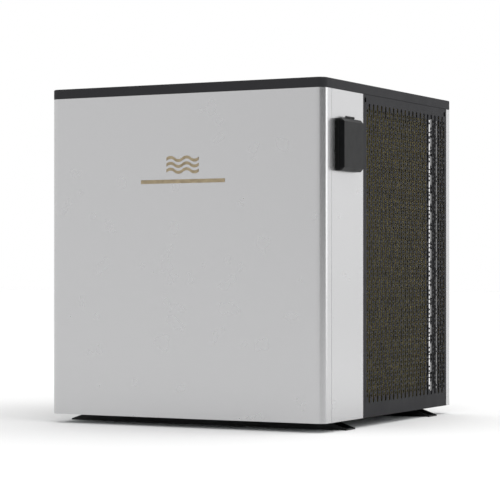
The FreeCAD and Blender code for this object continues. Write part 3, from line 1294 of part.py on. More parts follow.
def electrical_box_cover():
    low = BOX_BOTTOM - BOX_COVER_DROP
    y0 = BOX_FRONT_Y - BOX_SHEET
    sheet = box(BOX_LEFT, BOX_RIGHT, y0, BOX_FRONT_Y, low, BOX_TOP)
    hem = box(BOX_LEFT, BOX_RIGHT, y0, BOX_FRONT_Y + BOX_COVER_HEM, low, low + BOX_SHEET)
    return joined([sheet, hem])


def control_board():
    """Board on four standoffs behind the electrical box's cover."""
    x0, x1 = BOX_LEFT + BOARD_LEFT, BOX_LEFT + BOARD_LEFT + BOARD_WIDTH
    z0, z1 = BOX_BOTTOM + BOARD_FOOT, BOX_TOP - BOARD_HEAD
    pieces = [box(x0, x1, BOARD_Y - BOARD_THICKNESS, BOARD_Y, z0, z1)]
    for x in (x0 + BOARD_POST_INSET, x1 - BOARD_POST_INSET):
        for z in (z0 + BOARD_POST_INSET, z1 - BOARD_POST_INSET):
            pieces.append(rod((x, BOARD_Y, z), (0, 1, 0), BOARD_POST_RADIUS, BOARD_STANDOFF))
    return joined(pieces)


def board_parts():
    """Smoothing capacitors, reactor, relays and plug sockets on the front of the board."""
    y = BOARD_Y - BOARD_THICKNESS
    parts = []
    for index in range(CAPACITORS):
        start = (BOX_LEFT + CAPACITOR_X + index * CAPACITOR_PITCH, y, BOX_TOP - CAPACITOR_DROP)
        can = rod(start, (0, -1, 0), CAPACITOR_RADIUS, CAPACITOR_HEIGHT)
        rim = [edge for edge in can.Edges if edge.BoundBox.YMax < y - CAPACITOR_HEIGHT + TOLERANCE]
        parts.append(can.makeFillet(CAPACITOR_EDGE_RADIUS, rim))
    x, z = BOX_LEFT + REACTOR_X, BOX_TOP - REACTOR_DROP
    parts.append(box(x, x + REACTOR_SIZE, y - REACTOR_DEPTH, y, z, z + REACTOR_SIZE))
    for index in range(RELAYS):
        x = BOX_LEFT + RELAY_X + index * RELAY_PITCH
        z = BOX_BOTTOM + RELAY_RISE
        parts.append(box(x, x + RELAY_WIDTH, y - RELAY_DEPTH, y, z, z + RELAY_HEIGHT))
        z = BOX_BOTTOM + SOCKET_RISE
        parts.append(box(x, x + SOCKET_WIDTH, y - SOCKET_DEPTH, y, z, z + SOCKET_HEIGHT))
    return parts


def heat_sink():
    """Extruded heat sink on the back of the electrical box, its fins in the air stream."""
    x0, z0 = BOX_LEFT + SINK_LEFT, BOX_BOTTOM + SINK_RISE
    z1 = z0 + SINK_HEIGHT
    pieces = [box(x0, x0 + SINK_WIDTH, BOX_BACK_Y, BOX_BACK_Y + SINK_PLATE, z0, z1)]
    pitch = (SINK_WIDTH - SINK_FIN) / (SINK_FINS - 1)
    for index in range(SINK_FINS):
        x = x0 + index * pitch
        pieces.append(box(x, x + SINK_FIN, BOX_BACK_Y, BOX_BACK_Y + SINK_DEPTH, z0, z1))
    return joined(pieces)


def terminal_block():
    """Nylon strip with a screw pocket and a wire mouth for each pole."""
    back = BOX_BACK_Y - BOX_SHEET
    front = back - TERMINAL_BLOCK_DEPTH
    x0 = BOX_RIGHT - TERMINAL_BLOCK_INSET
    z0 = BOX_BOTTOM + TERMINAL_BLOCK_RISE
    strip = box(x0, x0 + TERMINAL_BLOCK_WIDTH, front, back, z0, z0 + TERMINAL_BLOCK_HEIGHT)
    half = TERMINAL_WIRE_WIDTH / 2
    for index in range(TERMINALS):
        x = x0 + TERMINAL_FIRST + index * TERMINAL_PITCH
        pocket = (x, front, z0 + TERMINAL_BLOCK_HEIGHT / 2)
        strip = strip.cut(rod(pocket, (0, 1, 0), TERMINAL_SCREW_RADIUS, TERMINAL_SCREW_DEPTH))
        mouth = box(x - half, x + half, front, front + TERMINAL_WIRE_DEPTH, z0, z0 + TERMINAL_WIRE_WIDTH)
        strip = strip.cut(mouth)
    return strip


def cable_gland():
    """Gland through the left panel: hexagon, domed cap, thread and lock nut, bored for the cable."""
    start = -HALF_WIDTH
    end = start - GLAND_REACH
    out = (-1, 0, 0)
    dome_x = start - GLAND_HEX_LENGTH
    hexagon = polygon_rod((start, GLAND_Y, GLAND_Z), out, GLAND_HEX_RADIUS, GLAND_HEX_LENGTH, HEX_SIDES)
    dome_radius = GLAND_THREAD_RADIUS + GLAND_DOME_WALL
    dome = rod((dome_x, GLAND_Y, GLAND_Z), out, dome_radius, dome_x - end)
    rim = [edge for edge in dome.Edges if edge.BoundBox.XMax < end + TOLERANCE]
    dome = dome.makeFillet(GLAND_DOME_EDGE, rim)
    thread_end = (start + GLAND_THREAD_LENGTH, GLAND_Y, GLAND_Z)
    thread = rod(thread_end, out, GLAND_THREAD_RADIUS, GLAND_THREAD_LENGTH)
    nut = polygon_rod((start + SHEET, GLAND_Y, GLAND_Z), (1, 0, 0), GLAND_HEX_RADIUS,
                      GLAND_NUT_LENGTH, HEX_SIDES)
    bore = rod(thread_end, out, GLAND_BORE_RADIUS, thread_end[0] - end)
    return joined([hexagon, dome, thread, nut]).cut(bore)


def drain_spigot():
    """Snap-in spigot with a flange under the tray and a thin lip above it."""
    rim = SPIGOT_RADIUS + SPIGOT_FLANGE_RIM
    rim_z = PANEL_BOTTOM - SPIGOT_FLANGE
    lip = SPIGOT_RADIUS + SPIGOT_LIP
    lip_z = TRAY_TOP + SPIGOT_LIP_HEIGHT
    outline = [(SPIGOT_BORE, SPIGOT_FLOOR_GAP), (SPIGOT_RADIUS, SPIGOT_FLOOR_GAP)]
    outline += [(SPIGOT_RADIUS, rim_z), (rim, rim_z), (rim, PANEL_BOTTOM), (SPIGOT_RADIUS, PANEL_BOTTOM)]
    outline += [(SPIGOT_RADIUS, TRAY_TOP), (lip, TRAY_TOP), (lip, lip_z), (SPIGOT_BORE, lip_z)]
    return turned(SPIGOT_X, SPIGOT_Y, outline)


def control_slab(inset, x0, x1):
    """Slab of the controller box's outline, drawn in by the inset."""
    y0 = CONTROL_Y - CONTROL_WIDTH / 2 + inset
    z0 = CONTROL_Z - CONTROL_HEIGHT / 2 + inset
    slab = box(x0, x1, y0, y0 + CONTROL_WIDTH - 2 * inset, z0, z0 + CONTROL_HEIGHT - 2 * inset)
    corners = [edge for edge in slab.Edges if edge.BoundBox.XLength > TOLERANCE]
    return slab.makeFillet(max(CONTROL_CORNER - inset, SMALLEST_RADIUS), corners)


def knuckle(y0, length, web_x0, web_x1, bore):
    """Hinge barrel on a web that reaches down to the part it belongs to."""
    barrel = rod((HINGE_X, y0, HINGE_Z), (0, 1, 0), HINGE_BARREL, length)
    web_z = HINGE_Z - HINGE_RISE - KNUCKLE_WEB
    web = box(web_x0, web_x1, y0, y0 + length, web_z, HINGE_Z)
    hole = rod((HINGE_X, y0, HINGE_Z), (0, 1, 0), bore, length)
    return barrel.fuse(web).cut(hole)


def controller_housing():
    x1 = HALF_WIDTH + CONTROL_BASE
    body = control_slab(0, HALF_WIDTH, x1)
    body = body.cut(control_slab(CONTROL_WALL, HALF_WIDTH + CONTROL_WALL, x1))
    cable_start = (HALF_WIDTH, CONTROL_Y, CONTROL_Z)
    body = body.cut(rod(cable_start, (1, 0, 0), CONTROL_CABLE_RADIUS, CONTROL_WALL))
    pieces = [body]
    offset = KNUCKLE_LENGTH / 2 + KNUCKLE_GAP
    for y0 in (CONTROL_Y - offset - KNUCKLE_LENGTH, CONTROL_Y + offset):
        pieces.append(knuckle(y0, KNUCKLE_LENGTH, HINGE_X - HINGE_BARREL, x1, HINGE_PIN))
    return joined(pieces)


def controller_cover():
    """Bevelled weather flap, hollow behind, hung from the hinge along its top edge."""
    x1 = COVER_X + CONTROL_COVER
    body = control_slab(0, COVER_X, x1)
    rim = [edge for edge in body.Edges if edge.BoundBox.XMin > x1 - TOLERANCE]
    body = body.makeChamfer(COVER_CHAMFER, rim)
    body = body.cut(control_slab(CONTROL_WALL, COVER_X, x1 - CONTROL_BEVEL))
    inner = control_slab(CONTROL_BEVEL + CONTROL_WALL, COVER_X, x1 - CONTROL_WALL)
    body = body.cut(inner)
    ear = knuckle(CONTROL_Y - KNUCKLE_LENGTH / 2, KNUCKLE_LENGTH, COVER_X, HINGE_X + HINGE_BARREL,
                  HINGE_PIN + HINGE_RUNNING_GAP)
    return joined([body, ear])


def hinge_pin():
    half = KNUCKLE_LENGTH * KNUCKLES / 2 + KNUCKLE_GAP
    return rod((HINGE_X, CONTROL_Y - half, HINGE_Z), (0, 1, 0), HINGE_PIN, 2 * half)


def button_centres():
    start = CONTROL_Y - BUTTON_SPACING * (len(BUTTON_NAMES) - 1) / 2
    return [start + index * BUTTON_SPACING for index in range(len(BUTTON_NAMES))]


def display_slab(depth, proud):
    """Block of the display window's outline, from below to above the module's face."""
    y0, y1 = CONTROL_Y - DISPLAY_HALF_WIDTH, CONTROL_Y + DISPLAY_HALF_WIDTH
    z0, z1 = CONTROL_Z - DISPLAY_DROP, CONTROL_Z + DISPLAY_RISE
    return box(MODULE_FACE - depth, MODULE_FACE + proud, y0, y1, z0, z1)


def controller_module():
    body = control_slab(CONTROL_WALL + MODULE_GAP, MODULE_X, MODULE_FACE)
    for y in button_centres():
        foot = (MODULE_FACE - BUTTON_WELL, y, CONTROL_Z + BUTTON_Z_OFFSET)
        body = body.cut(rod(foot, (1, 0, 0), BUTTON_RADIUS + BUTTON_GAP, BUTTON_WELL))
    return body.cut(display_slab(DISPLAY_DEPTH, 0))


def display_window():
    return display_slab(DISPLAY_DEPTH, DISPLAY_PROUD)


def button(y):
    start = MODULE_FACE + BUTTON_PROUD - BUTTON_DEPTH
    top = start + BUTTON_DEPTH
    cap = rod((start, y, CONTROL_Z + BUTTON_Z_OFFSET), (1, 0, 0), BUTTON_RADIUS, BUTTON_DEPTH)
    rim = [edge for edge in cap.Edges if edge.BoundBox.XMin > top - TOLERANCE]
    return cap.makeFillet(BUTTON_EDGE_RADIUS, rim)


def wave(z):
    """Ribbon of four arcs, rising and falling by turns, on the front panel's face."""
    chord = BADGE_WIDTH / WAVE_ARCS
    face_y = -HALF_DEPTH
    edges = []
    for foot in (z, z + WAVE_BAND):
        for index in range(WAVE_ARCS):
            x0 = -BADGE_WIDTH / 2 + index * chord
            rise = WAVE_RISE if index % 2 == 0 else -WAVE_RISE
            middle = Vector(x0 + chord / 2, face_y, foot + rise)
            arc = Part.Arc(Vector(x0, face_y, foot), middle, Vector(x0 + chord, face_y, foot))
            edges.append(arc.toShape())
    for x in (-BADGE_WIDTH / 2, BADGE_WIDTH / 2):
        edges.append(Part.makeLine(Vector(x, face_y, z), Vector(x, face_y, z + WAVE_BAND)))
    outline = Part.Wire(Part.sortEdges(edges)[0])
    return Part.Face(outline).extrude(Vector(0, -BADGE_THICKNESS, 0))


def badge():
    middle = PANEL_BOTTOM + BADGE_Z
    waves = [wave(middle + index * WAVE_PITCH - WAVE_BAND / 2) for index in (-1, 0, 1)]
    bar_z = middle - BADGE_BAR_DROP
    half = BADGE_BAR_WIDTH / 2
    bar = box(-half, half, -HALF_DEPTH - BADGE_THICKNESS, -HALF_DEPTH, bar_z, bar_z + BADGE_BAR_HEIGHT)
    return waves + [bar]


def main():
    os.makedirs("parts", exist_ok=True)
    post_right, post_left = corner_posts()
    tails, nuts, seals = union_parts()
    side_grille = side_grille_right()
    write("base_tray", base_tray())
    write("foot_rail_front", foot_rail(-ANCHOR_SPACING_Y / 2))
    write("foot_rail_rear", foot_rail(ANCHOR_SPACING_Y / 2))
    write("base_bolts", rail_bolts() + compressor_bolts())
    write("front_panel", front_panel())
    write("side_panel_right", side_panel_right())
    write("side_panel_left", side_panel_left())
    write("side_grille_right", side_grille)
    write("side_grille_left", mirror_x(side_grille))
    write("rear_grille", rear_grille())
    write("corner_post_right", post_right)
    write("corner_post_left", post_left)
    write("partition_panel", partition_panel())
    write("top_lid", top_lid())
    write("casing_screws", casing_screws())
    write("badge", badge())
    write("orifice_ring", orifice_ring())
    write("motor_bracket", motor_bracket())
    write("motor_body", motor_body())
    write("motor_shaft", motor_shaft())
    write("fan_rotor", fan_rotor())
    write("fan_nut", fan_nut())
    write("fan_guard", fan_guard())
    write("coil_fins", coil_fins())
    write("coil_end_plates", coil_end_plates())
    write("coil_return_bends", coil_return_bends())
    write("suction_header", suction_header())
    write("distributor", [distributor()] + capillaries())
    write("compressor", compressor())
    write("compressor_mounts", compressor_mounts())
    write("compressor_terminal_cover", terminal_cover())
    write("accumulator", accumulator())
    write("reversing_valve", reversing_valve())
    write("refrigerant_pipes", [discharge_pipe()] + suction_pipes() + gas_pipes() + liquid_pipes())
    write("filter_drier", filter_drier())
    write("expansion_valve", expansion_valve())
    write("exchanger_shell", exchanger_shell())
    write("exchanger_caps", exchanger_caps())
    write("exchanger_coil", exchanger_coil())
    write("water_pipes", [water_pipe(z) for z in WATER_PORTS])
    write("union_tails", tails)
    write("union_nuts", nuts)
    write("union_seals", seals)
    write("pressure_switch", pressure_switch())
    write("electrical_box", electrical_box())
    write("electrical_box_cover", electrical_box_cover())
    write("control_board", [control_board()] + board_parts())
    write("heat_sink", heat_sink())
    write("terminal_block", terminal_block())
    write("cable_gland", cable_gland())
    write("drain_spigot", drain_spigot())
    write("controller_housing", controller_housing())
    write("controller_cover", controller_cover())
    write("hinge_pin", hinge_pin())
    write("controller_module", controller_module())
    write("display_window", display_window())
    for name, y in zip(BUTTON_NAMES, button_centres()):
        write(name, button(y))


main()
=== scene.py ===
# %% [markdown]
# # A pool heat pump, dressed for a studio picture
# The CAD model gives every panel, pipe and screw of the heat pump at its true size. What it can't
# give is the look: powder coat, gold-lacquered fins, zinc, copper and moulded plastic. This
# lesson loads that model as a fixed frame, gives each finish its own shader, replaces the plain
# coil block with real fins and tubes, and sets up a plain, soft studio round it.
#
# Everything is in metres, in the model's own frame: +Z is up, the front faces -Y, and the
# controller is on the +X side.

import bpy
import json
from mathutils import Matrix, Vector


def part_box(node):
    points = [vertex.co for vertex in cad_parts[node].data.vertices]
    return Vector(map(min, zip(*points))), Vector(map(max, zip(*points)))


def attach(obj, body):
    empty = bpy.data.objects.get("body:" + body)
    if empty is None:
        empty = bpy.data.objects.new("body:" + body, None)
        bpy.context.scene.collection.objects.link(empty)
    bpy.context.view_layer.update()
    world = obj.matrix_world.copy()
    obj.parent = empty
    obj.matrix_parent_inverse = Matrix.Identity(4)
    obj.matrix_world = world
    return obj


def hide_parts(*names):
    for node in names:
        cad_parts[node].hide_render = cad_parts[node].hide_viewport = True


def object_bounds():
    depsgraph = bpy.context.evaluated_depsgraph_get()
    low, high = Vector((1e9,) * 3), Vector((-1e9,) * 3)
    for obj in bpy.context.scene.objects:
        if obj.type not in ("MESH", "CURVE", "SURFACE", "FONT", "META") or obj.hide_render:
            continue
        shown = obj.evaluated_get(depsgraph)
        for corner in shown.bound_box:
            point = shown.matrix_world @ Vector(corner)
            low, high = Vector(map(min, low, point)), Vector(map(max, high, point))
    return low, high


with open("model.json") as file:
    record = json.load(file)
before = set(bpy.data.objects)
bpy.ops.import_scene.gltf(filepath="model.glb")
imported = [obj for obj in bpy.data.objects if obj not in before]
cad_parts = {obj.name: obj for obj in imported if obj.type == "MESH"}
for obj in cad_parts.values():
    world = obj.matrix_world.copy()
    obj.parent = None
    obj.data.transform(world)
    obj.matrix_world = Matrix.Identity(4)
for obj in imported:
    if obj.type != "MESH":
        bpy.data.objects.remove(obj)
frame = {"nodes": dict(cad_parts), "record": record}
nodes = frame["nodes"]
cad_low, cad_high = [list(corner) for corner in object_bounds()]
print("CAD nodes:", len(nodes), "box:", cad_low, cad_high)

# %% Blender's own modules, and a few from Python
import bmesh
import bpy
import json
import math
from mathutils import Matrix, Vector

MM = 0.001
root_slots = [material["slot"] for material in frame["record"]["materials"]]
print("finishes to make:", ", ".join(root_slots))

# %% [markdown]
# ## Small helpers for the shaders
# A colour is easiest to read as the hex value that a paint chart gives, but a shader adds light
# in linear units, so one function turns one into the other. A second one adds a node: it takes
# the node's settings as words, and its inputs either as plain values or as another node's output,
# which it links. A third one starts a finish: a new material with nothing in it but its output
# and a Principled shader, with the numbers that are the same all over the surface.

# %% Colour, node and finish
def linear(hex_colour):
    """An sRGB hex value such as #c0ffee as a linear RGBA colour."""
    channels = [int(hex_colour[start:start + 2], 16) / 255 for start in (1, 3, 5)]
    scene = [c / 12.92 if c <= 0.04045 else ((c + 0.055) / 1.055) ** 2.4 for c in channels]
    return (*scene, 1.0)


def add_node(tree, kind, inputs=None, **settings):
    """One node with its settings, and its inputs set or linked."""
    node = tree.nodes.new(kind)
    for name, value in settings.items():
        setattr(node, name, value)
    for socket, value in (inputs or {}).items():
        if isinstance(value, bpy.types.NodeSocket):
            tree.links.new(value, node.inputs[socket])
        else:
            node.inputs[socket].default_value = value
    return node


def new_finish(name, **surface):
    """A material with one Principled shader, its even values set on the shader's own sockets."""
    finish = bpy.data.materials.new(name)
    finish.use_nodes = True
    tree = finish.node_tree
    tree.nodes.clear()
    shader = add_node(tree, "ShaderNodeBsdfPrincipled")
    for socket, value in surface.items():
        shader.inputs[socket.replace("_", " ")].default_value = value
    add_node(tree, "ShaderNodeOutputMaterial", {"Surface": shader.outputs[0]})
    return finish, tree, shader


print("orange as linear colour:", [round(c, 3) for c in linear("#ff8000")])

# %% [markdown]
# ## Patterns that most finishes share
# Paint, plastic and metal all differ in the same three ways: the colour drifts a little, the
# gloss is uneven, and the surface isn't flat. Each pattern is a noise texture in the piece's own
# coordinates, so that it stays on the piece when the piece turns. A pattern's scale is one over
# its size in metres, and its size comes from a real one in millimetres.

# %% Mottle, gloss and relief
def place_on(tree, stretch=(1.0, 1.0, 1.0)):
    """The point on the piece, in metres, stretched for brushed or drawn surfaces."""
    coordinates = add_node(tree, "ShaderNodeTexCoord")
    mapped = add_node(tree, "ShaderNodeMapping",
                      {"Vector": coordinates.outputs["Object"], "Scale": stretch})
    return mapped.outputs[0]


def grain(tree, place, size_mm, detail=2.0, roughness=0.5):
    """Noise whose blotches are about this many millimetres across."""
    noise = add_node(tree, "ShaderNodeTexNoise",
                     {"Vector": place, "Scale": 1 / (size_mm * MM), "Detail": detail,
                      "Roughness": roughness})
    return noise.outputs["Fac"]


def drift(tree, shader, factor, dark, light, low=0.35, high=0.65):
    """Base colour that wanders between two close shades."""
    ramp = add_node(tree, "ShaderNodeValToRGB", {"Fac": factor})
    ramp.color_ramp.elements[0].position = low
    ramp.color_ramp.elements[0].color = linear(dark)
    ramp.color_ramp.elements[1].position = high
    ramp.color_ramp.elements[1].color = linear(light)
    tree.links.new(ramp.outputs["Color"], shader.inputs["Base Color"])
    return ramp


def uneven_gloss(tree, shader, factor, smooth, rough):
    """Roughness that goes from smooth to rough with the factor."""
    spread = add_node(tree, "ShaderNodeMapRange",
                      {"Value": factor, "From Min": 0.3, "From Max": 0.7,
                       "To Min": smooth, "To Max": rough})
    tree.links.new(spread.outputs[0], shader.inputs["Roughness"])


def relief(tree, shader, factor, height_mm, strength=1.0):
    """Small hills and hollows, as deep as they really are."""
    bump = add_node(tree, "ShaderNodeBump",
                    {"Height": factor, "Distance": height_mm * MM, "Strength": strength})
    tree.links.new(bump.outputs["Normal"], shader.inputs["Normal"])
    return bump


finishes = {}
print("pattern helpers ready")

# %% [markdown]
# ## Silver powder coat: front panel, side panels and corner posts
# The casing is pressed zinc-coated steel with a silver powder coat. The powder holds aluminium
# flakes, so the coat is nearly metal: a soft metallic glow that takes on the tone of whatever it
# faces, with some plain paint between the flakes. Powder melts as it cures and leaves an orange
# peel of about 3 mm, here only a few thousandths of a millimetre deep. The flakes are 0.05 mm,
# which is too fine to show, so they are drawn 0.9 mm coarse and very faint.

# %% Silver powder coat
silver, tree, shader = new_finish("silver_powder_coat", Metallic=0.85)
place = place_on(tree)
drift(tree, shader, grain(tree, place, 0.9, detail=1.0), "#c0c0c1", "#c2c2c3")
uneven_gloss(tree, shader, grain(tree, place, 60.0), 0.26, 0.275)
relief(tree, shader, grain(tree, place, 3.0, detail=0.0), 0.004, 0.04)
finishes["silver_panel"] = silver
print(silver.name, "has", len(tree.nodes), "nodes")

# %% [markdown]
# ## Dark grey textured powder coat: lid and perforated panels
# The lid and the three perforated panels have a charcoal fine-texture powder. Its grains are
# about 0.4 mm and are drawn 0.8 mm, so the sheen breaks up into a soft satin instead of a mirror.

# %% Charcoal powder coat
charcoal, tree, shader = new_finish("charcoal_powder_coat", Specular_IOR_Level=0.05)
place = place_on(tree)
drift(tree, shader, grain(tree, place, 0.8, detail=3.0), "#2d2d2f", "#353537")
uneven_gloss(tree, shader, grain(tree, place, 40.0), 0.5, 0.58)
relief(tree, shader, grain(tree, place, 0.8, detail=3.0), 0.04, 0.5)
finishes["grey_panel"] = charcoal
print(charcoal.name, "has", len(tree.nodes), "nodes")

# %% [markdown]
# ## Black dip paint: foot rails
# The rails are hot-rolled steel dipped in black paint. The coat is thicker at the edges, hides
# the mill scale badly, and takes a little grey dust where it meets the floor.

# %% Black dip paint
rail_black, tree, shader = new_finish("black_dip_paint", Specular_IOR_Level=0.25)
place = place_on(tree)
dust = grain(tree, place, 9.0, detail=4.0, roughness=0.65)
drift(tree, shader, dust, "#0d0e0f", "#1b1c1d", 0.4, 0.8)
uneven_gloss(tree, shader, dust, 0.38, 0.6)
relief(tree, shader, grain(tree, place, 1.6), 0.05, 0.6)
finishes["black_steel"] = rail_black
print(rail_black.name, "has", len(tree.nodes), "nodes")

# %% [markdown]
# ## Moulded plastics
# A moulded part copies its mould. A spark-eroded mould leaves an even, dry grain of 0.2 to
# 0.5 mm; a polished one leaves gloss and slight waves. So all the plastics come from one
# function, which takes the two close shades, the gloss, and the grain's size and depth.

# %% One function for what is moulded
def moulded(name, dark, light, gloss, grain_mm, depth_mm, **surface):
    """A moulded plastic or rubber with its mould's grain."""
    finish, tree, shader = new_finish(name, **surface)
    place = place_on(tree)
    drift(tree, shader, grain(tree, place, 14.0, detail=4.0), dark, light)
    uneven_gloss(tree, shader, grain(tree, place, 25.0), gloss, gloss + 0.08)
    relief(tree, shader, grain(tree, place, grain_mm, detail=2.0), depth_mm, 0.6)
    return finish


# %% ABS, PVC, nylon, glass-filled polypropylene and rubber
finishes["cover_plastic"] = moulded("satin_black_abs", "#0a0b0c", "#0f1011", 0.3, 0.8, 0.01,
                                    Specular_IOR_Level=0.1)
finishes["black_plastic"] = moulded("eroded_black_abs", "#070808", "#0b0c0c", 0.45, 0.6, 0.03,
                                    Specular_IOR_Level=0.15)
finishes["fan_plastic"] = moulded("glass_filled_polypropylene", "#1d1e20", "#27292b", 0.42,
                                  1.2, 0.03)
finishes["exchanger_pvc"] = moulded("white_pvc", "#c9c9c4", "#d5d5d1", 0.36, 1.5, 0.02)
finishes["dark_pvc"] = moulded("dark_grey_pvc_u", "#34373a", "#3e4245", 0.34, 1.2, 0.02)
finishes["terminal_plastic"] = moulded("natural_nylon", "#c8c6b8", "#d8d6ca", 0.4, 0.8, 0.02,
                                       Subsurface_Weight=0.05)
finishes["rubber"] = moulded("epdm_rubber", "#141414", "#1f1f1e", 0.7, 0.7, 0.05)
print("moulded finishes:", [f.name for f in finishes.values()][3:])

# %% [markdown]
# ## Zinc: galvanised sheet and plated screws
# The base tray, the partition and the coil's end plates are hot-dip galvanised sheet. Zinc
# freezes in flat crystals, the spangle, each 8 to 15 mm across with its own grey and its own
# gloss: a Voronoi texture gives one random colour per cell, which is just that. Screws and bolts
# are electroplated, with no spangle, only fine turning marks.

# %% Galvanised sheet
galvanised, tree, shader = new_finish("galvanised_spangle", Metallic=1.0)
place = place_on(tree)
spangle = add_node(tree, "ShaderNodeTexVoronoi",
                   {"Vector": place, "Scale": 1 / (11.0 * MM), "Randomness": 1.0})
crystal = add_node(tree, "ShaderNodeSeparateColor", {"Color": spangle.outputs["Color"]})
drift(tree, shader, crystal.outputs[0], "#9fa4a6", "#b9bdbe", 0.0, 1.0)
uneven_gloss(tree, shader, crystal.outputs[1], 0.34, 0.5)
relief(tree, shader, grain(tree, place, 2.5), 0.02, 0.4)
finishes["galvanised"] = galvanised
print(galvanised.name, "has", len(tree.nodes), "nodes")

# %% [markdown]
# ## Drawn, turned and plated metals
# Tube that is drawn, bar that is turned and sections that are extruded all carry fine lines one
# way. Stretching the noise gives those lines: a small scale along the line and a large one
# across it. Copper also goes brown in patches where it was brazed or handled.

# %% One function for what is drawn or turned
def drawn_metal(name, dark, light, gloss, line_mm, stretch, tarnish_mm=30.0):
    """A bare metal with fine lines along one axis and slow tarnish."""
    finish, tree, shader = new_finish(name, Metallic=1.0)
    lines = grain(tree, place_on(tree, stretch), line_mm, detail=2.0)
    tarnish = grain(tree, place_on(tree), tarnish_mm, detail=4.0, roughness=0.6)
    drift(tree, shader, tarnish, dark, light, 0.3, 0.6)
    uneven_gloss(tree, shader, lines, gloss, gloss + 0.14)
    relief(tree, shader, lines, 0.01, 0.5)
    return finish


# %% Copper, brass, titanium, aluminium, zinc plate and bronze
EVEN = (1.0, 1.0, 1.0)
ALONG_X = (0.03, 1.0, 1.0)
ALONG_Z = (1.0, 1.0, 0.03)
finishes["copper_tube"] = drawn_metal("drawn_copper", "#8a4c30", "#c98561", 0.26, 0.8, EVEN)
finishes["brass_body"] = drawn_metal("forged_brass", "#8f7440", "#c2a367", 0.3, 0.6, EVEN)
finishes["titanium"] = drawn_metal("drawn_titanium", "#807b76", "#a19c95", 0.34, 0.6, EVEN)
finishes["heat_sink"] = drawn_metal("extruded_aluminium", "#a3a6a9", "#c0c3c5", 0.28, 0.6, ALONG_X)
finishes["screw_steel"] = drawn_metal("zinc_plated_steel", "#9a9c98", "#bcbdb9", 0.28, 0.5, EVEN)
finishes["badge_metal"] = drawn_metal("bronze_anodised_aluminium", "#8d8069", "#a5977d", 0.3, 0.5,
                                      ALONG_X, tarnish_mm=12.0)
print("drawn finishes:", finishes["copper_tube"].name, "to", finishes["badge_metal"].name)

# %% [markdown]
# ## Baked paint: compressor, fan motor and guard wire
# The compressor and accumulator are dipped in thick black paint and baked, which leaves a wavy
# gloss. The motor's cast shell shows the sand-like skin of the casting through its paint, and
# the guard's wires have a soft plastic coat.

# %% Three baked coats
finishes["compressor_paint"] = moulded("baked_black_paint", "#0c0c0d", "#141416", 0.18, 5.0, 0.05,
                                       Coat_Weight=0.3, Coat_Roughness=0.1)
finishes["motor_paint"] = moulded("painted_casting", "#1c1e20", "#282a2d", 0.36, 0.9, 0.08)
finishes["guard_wire"] = moulded("dipped_wire_coat", "#121314", "#191b1c", 0.3, 1.5, 0.02,
                                 Coat_Weight=0.2, Coat_Roughness=0.15)
print("baked finishes:", finishes["compressor_paint"].name, "and two more")

# %% [markdown]
# ## Gold-lacquered fins
# The coil's aluminium foil has a water-shedding lacquer, thin and yellow. Metal seen through a
# clear yellow skin is a metallic shader with a gold base colour. The lacquer pools in bands
# across the foil, so the tone drifts every 20 mm or so.

# %% Fin lacquer
fin_gold, tree, shader = new_finish("gold_lacquered_foil", Metallic=0.85, Coat_Weight=0.3,
                                    Coat_Roughness=0.2)
place = place_on(tree)
drift(tree, shader, grain(tree, place, 20.0, detail=3.0), "#a69b62", "#c8bd88")
uneven_gloss(tree, shader, grain(tree, place, 8.0), 0.34, 0.5)
relief(tree, shader, grain(tree, place, 4.0), 0.05, 0.5)
finishes["coil_fin"] = fin_gold
print(fin_gold.name, "has", len(tree.nodes), "nodes")

# %% [markdown]
# ## Circuit board and display window
# The board is glass-fibre laminate under green solder mask, with its copper tracks showing as
# slightly lighter, slightly raised lines: a brick pattern with thin mortar reads as tracks. The
# window is smoked acrylic over a dark display: nearly black, very smooth, with a faint haze.

# %% Solder mask and smoked acrylic
solder_mask, tree, shader = new_finish("green_solder_mask", Roughness=0.3)
place = place_on(tree)
tracks = add_node(tree, "ShaderNodeTexBrick",
                  {"Vector": place, "Scale": 1 / (16.0 * MM), "Mortar Size": 0.03,
                   "Color1": linear("#12452c"), "Color2": linear("#164e32"),
                   "Mortar": linear("#2a7a50")})
tree.links.new(tracks.outputs["Color"], shader.inputs["Base Color"])
relief(tree, shader, tracks.outputs["Fac"], 0.035, 0.5)
finishes["board"] = solder_mask

acrylic, tree, shader = new_finish("smoked_acrylic", Coat_Weight=0.5, Coat_Roughness=0.04)
place = place_on(tree)
drift(tree, shader, grain(tree, place, 18.0), "#0a0c0f", "#101317")
uneven_gloss(tree, shader, grain(tree, place, 12.0), 0.08, 0.16)
finishes["display"] = acrylic
print("missing finishes:", sorted(set(root_slots) - set(finishes)))

# %% [markdown]
# ## Put the finishes on the CAD nodes
# The record says which material slot each node belongs to, and the imported object's slots carry
# those names. A CAD node is never moved and its mesh isn't touched: only what is in its material
# slots changes.

# %% Dress the frame
slot_of = {entry["node"]: entry["material_slot"] for entry in frame["record"]["subparts"]}
for name, node in nodes.items():
    for holder in node.material_slots:
        holder.material = finishes[slot_of[name]]
print("dressed", len(slot_of), "nodes in", len(set(slot_of.values())), "finishes")

# %% [markdown]
# ## The air coil: real fins on real tubes
# The CAD coil is one solid block, which is right for collision but not for the eye. The real one
# is several hundred foil fins pressed on to two rows of copper tube, bent into a C. One fin is a
# flat plate across the coil, as tall as the coil, so the coil is one small plate placed again
# and again along the C. Real fins are 0.12 mm thick and 1.8 mm apart; here they are 0.3 mm thick
# and 2.2 mm apart, which looks the same through the slots and keeps the mesh light.
#
# The C comes from the CAD block's own box: two straight legs, two quarter bends and the back.

